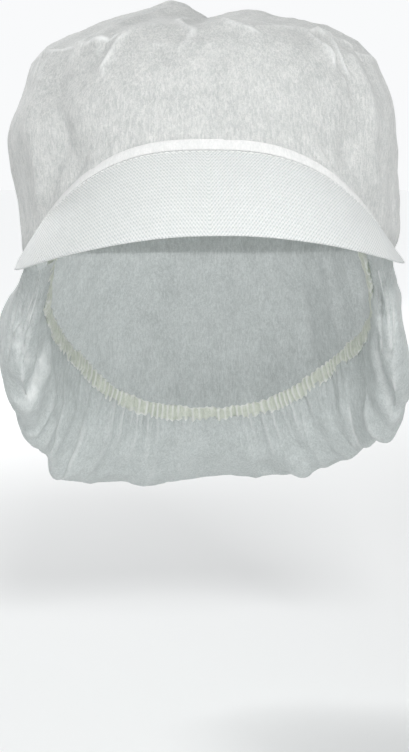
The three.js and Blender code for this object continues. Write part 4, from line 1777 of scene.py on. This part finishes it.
@dataclass
class ElasticHem:
    """The pouch's rim folded over a flat elastic, which gathers it in small ruffles.

    Attributes:
        width: Width of the hem.
        thick: Thickness of the hem.
        pitch: From one gather to the next.
        columns: Faces along it.
        sides: Faces round it.
        sharp: The curvature of a full crease.
        flat: The folded hem's width and length in metres, before its elastic draws in; not used.
    """

    snood: Snood
    width: float = 8.5
    thick: float = 2.2
    pitch: float = 3.4
    columns: int = 900
    sides: int = 24
    sharp: float = 0.6
    flat: tuple[float, float] = (0.42, 0.011)

    def build(self) -> bpy.types.Object:
        """Makes the ruffled hem and dresses it.

        Returns:
            The hem.
        """
        turn = np.radians(np.linspace(-self.snood.turn, self.snood.turn, self.columns + 1))
        _, rim, inward = self.snood.stations(turn)
        along = np.gradient(rim, axis=0)
        across = np.cross(along, inward)
        across /= np.linalg.norm(across, axis=-1, keepdims=True)
        travelled = way_along(rim)
        drift = 5.0 * ClothNoise(96).flat(travelled / 14, travelled * 0)
        gathered = 2 * math.pi * (travelled + drift) / self.pitch
        lines = []
        for k in range(self.sides):
            angle = 2 * math.pi * k / self.sides
            place = math.cos(angle)
            lean = np.full_like(travelled, place)
            frill = 2.2 * ClothNoise(91).flat(travelled / 6.5, lean * 0.4) * (0.4 + 0.9 * abs(place) ** 2)
            strength = 0.9 + 1.1 * ClothNoise(95).flat(travelled / 9, lean * 0.3)
            pleat = 0.5 * strength * np.sin(gathered + 0.7 * place)
            pleat += 1.3 * ClothNoise(92).flat(travelled / 3.2, lean * 0.7 + math.sin(angle))
            edge = (1.6 * ClothNoise(93).flat(travelled / 4.5, lean) + 0.5 * np.sin(gathered)) * place
            point = rim + inward * (self.width / 2 * place + edge)[:, None]
            bulge = self.thick / 2 * math.sin(angle) * (1 + 0.5 * ClothNoise(94).flat(travelled / 4.2, lean))
            lines.append(point + across * (bulge + frill + pleat)[:, None])
        sheet = tube("snood_elastic_cloth", lines)
        # Painted highlight on the ruffles' crests and painted shade in their valleys.
        sheet.mark_creases(self.sharp)
        dress(sheet.object, HEM_CLOTH.material(), "snood_elastic")
        return sheet.object


@dataclass
class SeamThread:
    """The stitches that show along the peak's seam.

    Attributes:
        pitch: From one stitch to the next.
        length: Length of a stitch that shows.
        thick: Thickness of the thread.
        end_azimuth: Where the seam's stitches end, in degrees.
        down: From the seam down to the stitches, in millimetres.
    """

    peak: Peak
    pitch: float = 2.9
    length: float = 1.9
    thick: float = 0.34
    end_azimuth: float = 58.0
    down: float = 1.1

    def stitch(self) -> tuple[np.ndarray, np.ndarray]:
        """Models one stitch along X, tapered into the cloth at both ends.

        Returns:
            Its vertices in millimetres and its faces.
        """
        deselect_all()
        bpy.ops.mesh.primitive_uv_sphere_add(
            segments=6, ring_count=4, radius=0.5, rotation=(0, math.pi / 2, 0)
        )
        made = bpy.context.active_object
        made.scale = (self.thick, self.thick, self.length)
        bpy.ops.object.transform_apply(location=True, rotation=True, scale=True)
        points = np.array([v.co[:] for v in made.data.vertices])
        faces = [list(p.vertices) for p in made.data.polygons]
        bpy.data.objects.remove(made)
        return points, faces

    def build(self) -> bpy.types.Object:
        """Lays the stitches along the seam and dresses them.

        Returns:
            The thread.
        """
        shape, faces = self.stitch()
        share = np.linspace(0, 1, 2000)
        side = share * 2 - 1
        kept = np.abs(side) * self.peak.end_azimuth < self.end_azimuth
        share = share[kept]
        seam, edge = self.peak.point(share, share * 0), self.peak.point(share, share * 0 + 1)
        down = self.down / np.linalg.norm(edge - seam, axis=-1)
        line = self.peak.point(share, down)
        travelled = way_along(line)
        count = int(travelled[-1] / self.pitch)
        middles = (np.arange(count) + 0.5) * self.pitch
        rng = np.random.default_rng(7)
        points, corners = [], []
        for way in middles + rng.normal(0, 0.12, count):
            at = np.interp(way, travelled, share)
            spots = np.array([at - 0.002, at, at + 0.002])
            spot_down = np.interp(spots, share, down)
            near = self.peak.point(spots, spot_down)
            below = self.peak.point(spots, spot_down + 0.05)
            along = near[2] - near[0]
            along /= np.linalg.norm(along)
            fall = below[1] - near[1]
            fall -= along * (fall @ along)
            fall /= np.linalg.norm(fall)
            out = np.cross(along, -fall)
            out = out if out[1] < 0 else -out
            centre = near[1] + out * (self.peak.wall / 2 + 0.12)
            start = len(points) * len(shape)
            points.append(centre + shape @ np.stack([along, fall, out]))
            corners += [[start + c for c in face] for face in faces]
        mesh = bpy.data.meshes.new("peak_seam_thread")
        mesh.from_pydata((np.concatenate(points) * MM).tolist(), [], corners)
        mesh.shade_smooth()
        made = bpy.data.objects.new("peak_seam_thread", mesh)
        bpy.context.scene.collection.objects.link(made)
        face_outwards(made)
        dress(made, ThreadFinish().material(), None)
        return made


@dataclass(frozen=True)
class SoftLight:
    """A large soft light of the studio.

    Attributes:
        name: Its name.
        place: Where it stands, in metres.
        aim: What it points at, in metres.
        size: Its side, in metres.
        power: Its power in watts.
    """

    name: str
    place: tuple[float, float, float]
    aim: tuple[float, float, float]
    size: float
    power: float

    def build(self) -> bpy.types.Object:
        """Makes the light and aims it.

        Returns:
            The light.
        """
        data = bpy.data.lights.new(self.name, "AREA")
        data.shape = "SQUARE"
        data.size = self.size
        data.energy = self.power
        made = bpy.data.objects.new(self.name, data)
        made.location = self.place
        made.rotation_euler = (Vector(self.aim) - Vector(self.place)).to_track_quat("-Z", "Y").to_euler()
        bpy.context.scene.collection.objects.link(made)
        return made


@dataclass
class Studio:
    """The pale floor, the lights and the camera at the photo's viewing angle.

    Attributes:
        floor: Height of the floor in metres.
        radius: Radius of the floor in metres.
        camera: Where the camera stands.
        tilt: How far it looks down, in degrees.
        lens: Its focal length in millimetres.
        backdrop: Brightness of the backdrop at the horizon.
        room: Brightness of the room above it.
        lights: The soft lights.
    """

    floor: float = -0.341
    radius: float = 14.0
    camera: tuple[float, float, float] = (-0.00125, -1.1, -0.0623)
    tilt: float = 5.865
    lens: float = 105.87
    backdrop: float = 1.0
    room: float = 0.42
    lights: tuple[SoftLight, ...] = (
        SoftLight("key", (0.25, -1.85, 0.8), (0, 0, -0.08), 0.5, 28.5),
        SoftLight("back", (-1.1, 1.7, 0.9), (0, 0, -0.1), 0.6, 28.0),
    )

    def ground(self) -> bpy.types.Object:
        """Models the floor.

        Returns:
            The floor.
        """
        deselect_all()
        bpy.ops.mesh.primitive_circle_add(
            vertices=96, radius=self.radius, fill_type="NGON", location=(0, 0, self.floor)
        )
        made = bpy.context.active_object
        made.name = "studio_floor"
        bpy.ops.object.transform_apply(location=True, rotation=True, scale=True)
        made.data.materials.append(StudioFinish().material())
        return made

    def surroundings(self) -> None:
        """Makes a dim room with a bright backdrop all round at the horizon."""
        world = bpy.data.worlds.new("soft_studio")
        world.use_nodes = True
        tree = world.node_tree
        tree.nodes.clear()
        way = add_node(tree, "TexCoord", out="Generated")
        rise = add_node(tree, "SeparateXYZ", links={0: way}, out="Z")
        limits = {"From Min": 0.1, "From Max": 0.4, "To Min": self.backdrop, "To Max": self.room}
        strength = add_node(tree, "MapRange", limits, {"Value": rise}, interpolation_type="SMOOTHSTEP")
        light = add_node(tree, "Background", {"Color": linear(BACKDROP)}, {"Strength": strength})
        add_node(tree, "OutputWorld", links={"Surface": light})
        bpy.context.scene.world = world

    def build(self) -> None:
        """Makes the floor, the lights, the room and the camera."""
        self.ground()
        for light in self.lights:
            light.build()
        self.surroundings()
        data = bpy.data.cameras.new("camera")
        data.lens = self.lens
        data.sensor_width = 36.0
        data.sensor_fit = "AUTO"
        data.clip_end = 60.0
        camera = bpy.data.objects.new("camera", data)
        camera.location = self.camera
        camera.rotation_euler = (math.radians(90 - self.tilt), 0, 0)
        bpy.context.scene.collection.objects.link(camera)
        bpy.context.scene.camera = camera
        bpy.context.scene.view_settings.view_transform = "Standard"
        LOG.info("studio: %d lights", len(self.lights))


def main() -> None:
    """Loads the frame and builds each piece in order."""
    logging.basicConfig(level=logging.INFO, format="%(message)s")
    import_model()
    crown = Crown()
    crown.build()
    peak = Peak(crown)
    peak.build()
    PeakBinding(crown).build()
    snood = Snood(crown)
    snood.build()
    ElasticHem(snood).build()
    SeamThread(peak).build()
    Studio().build()


if __name__ == "__main__":
    main()
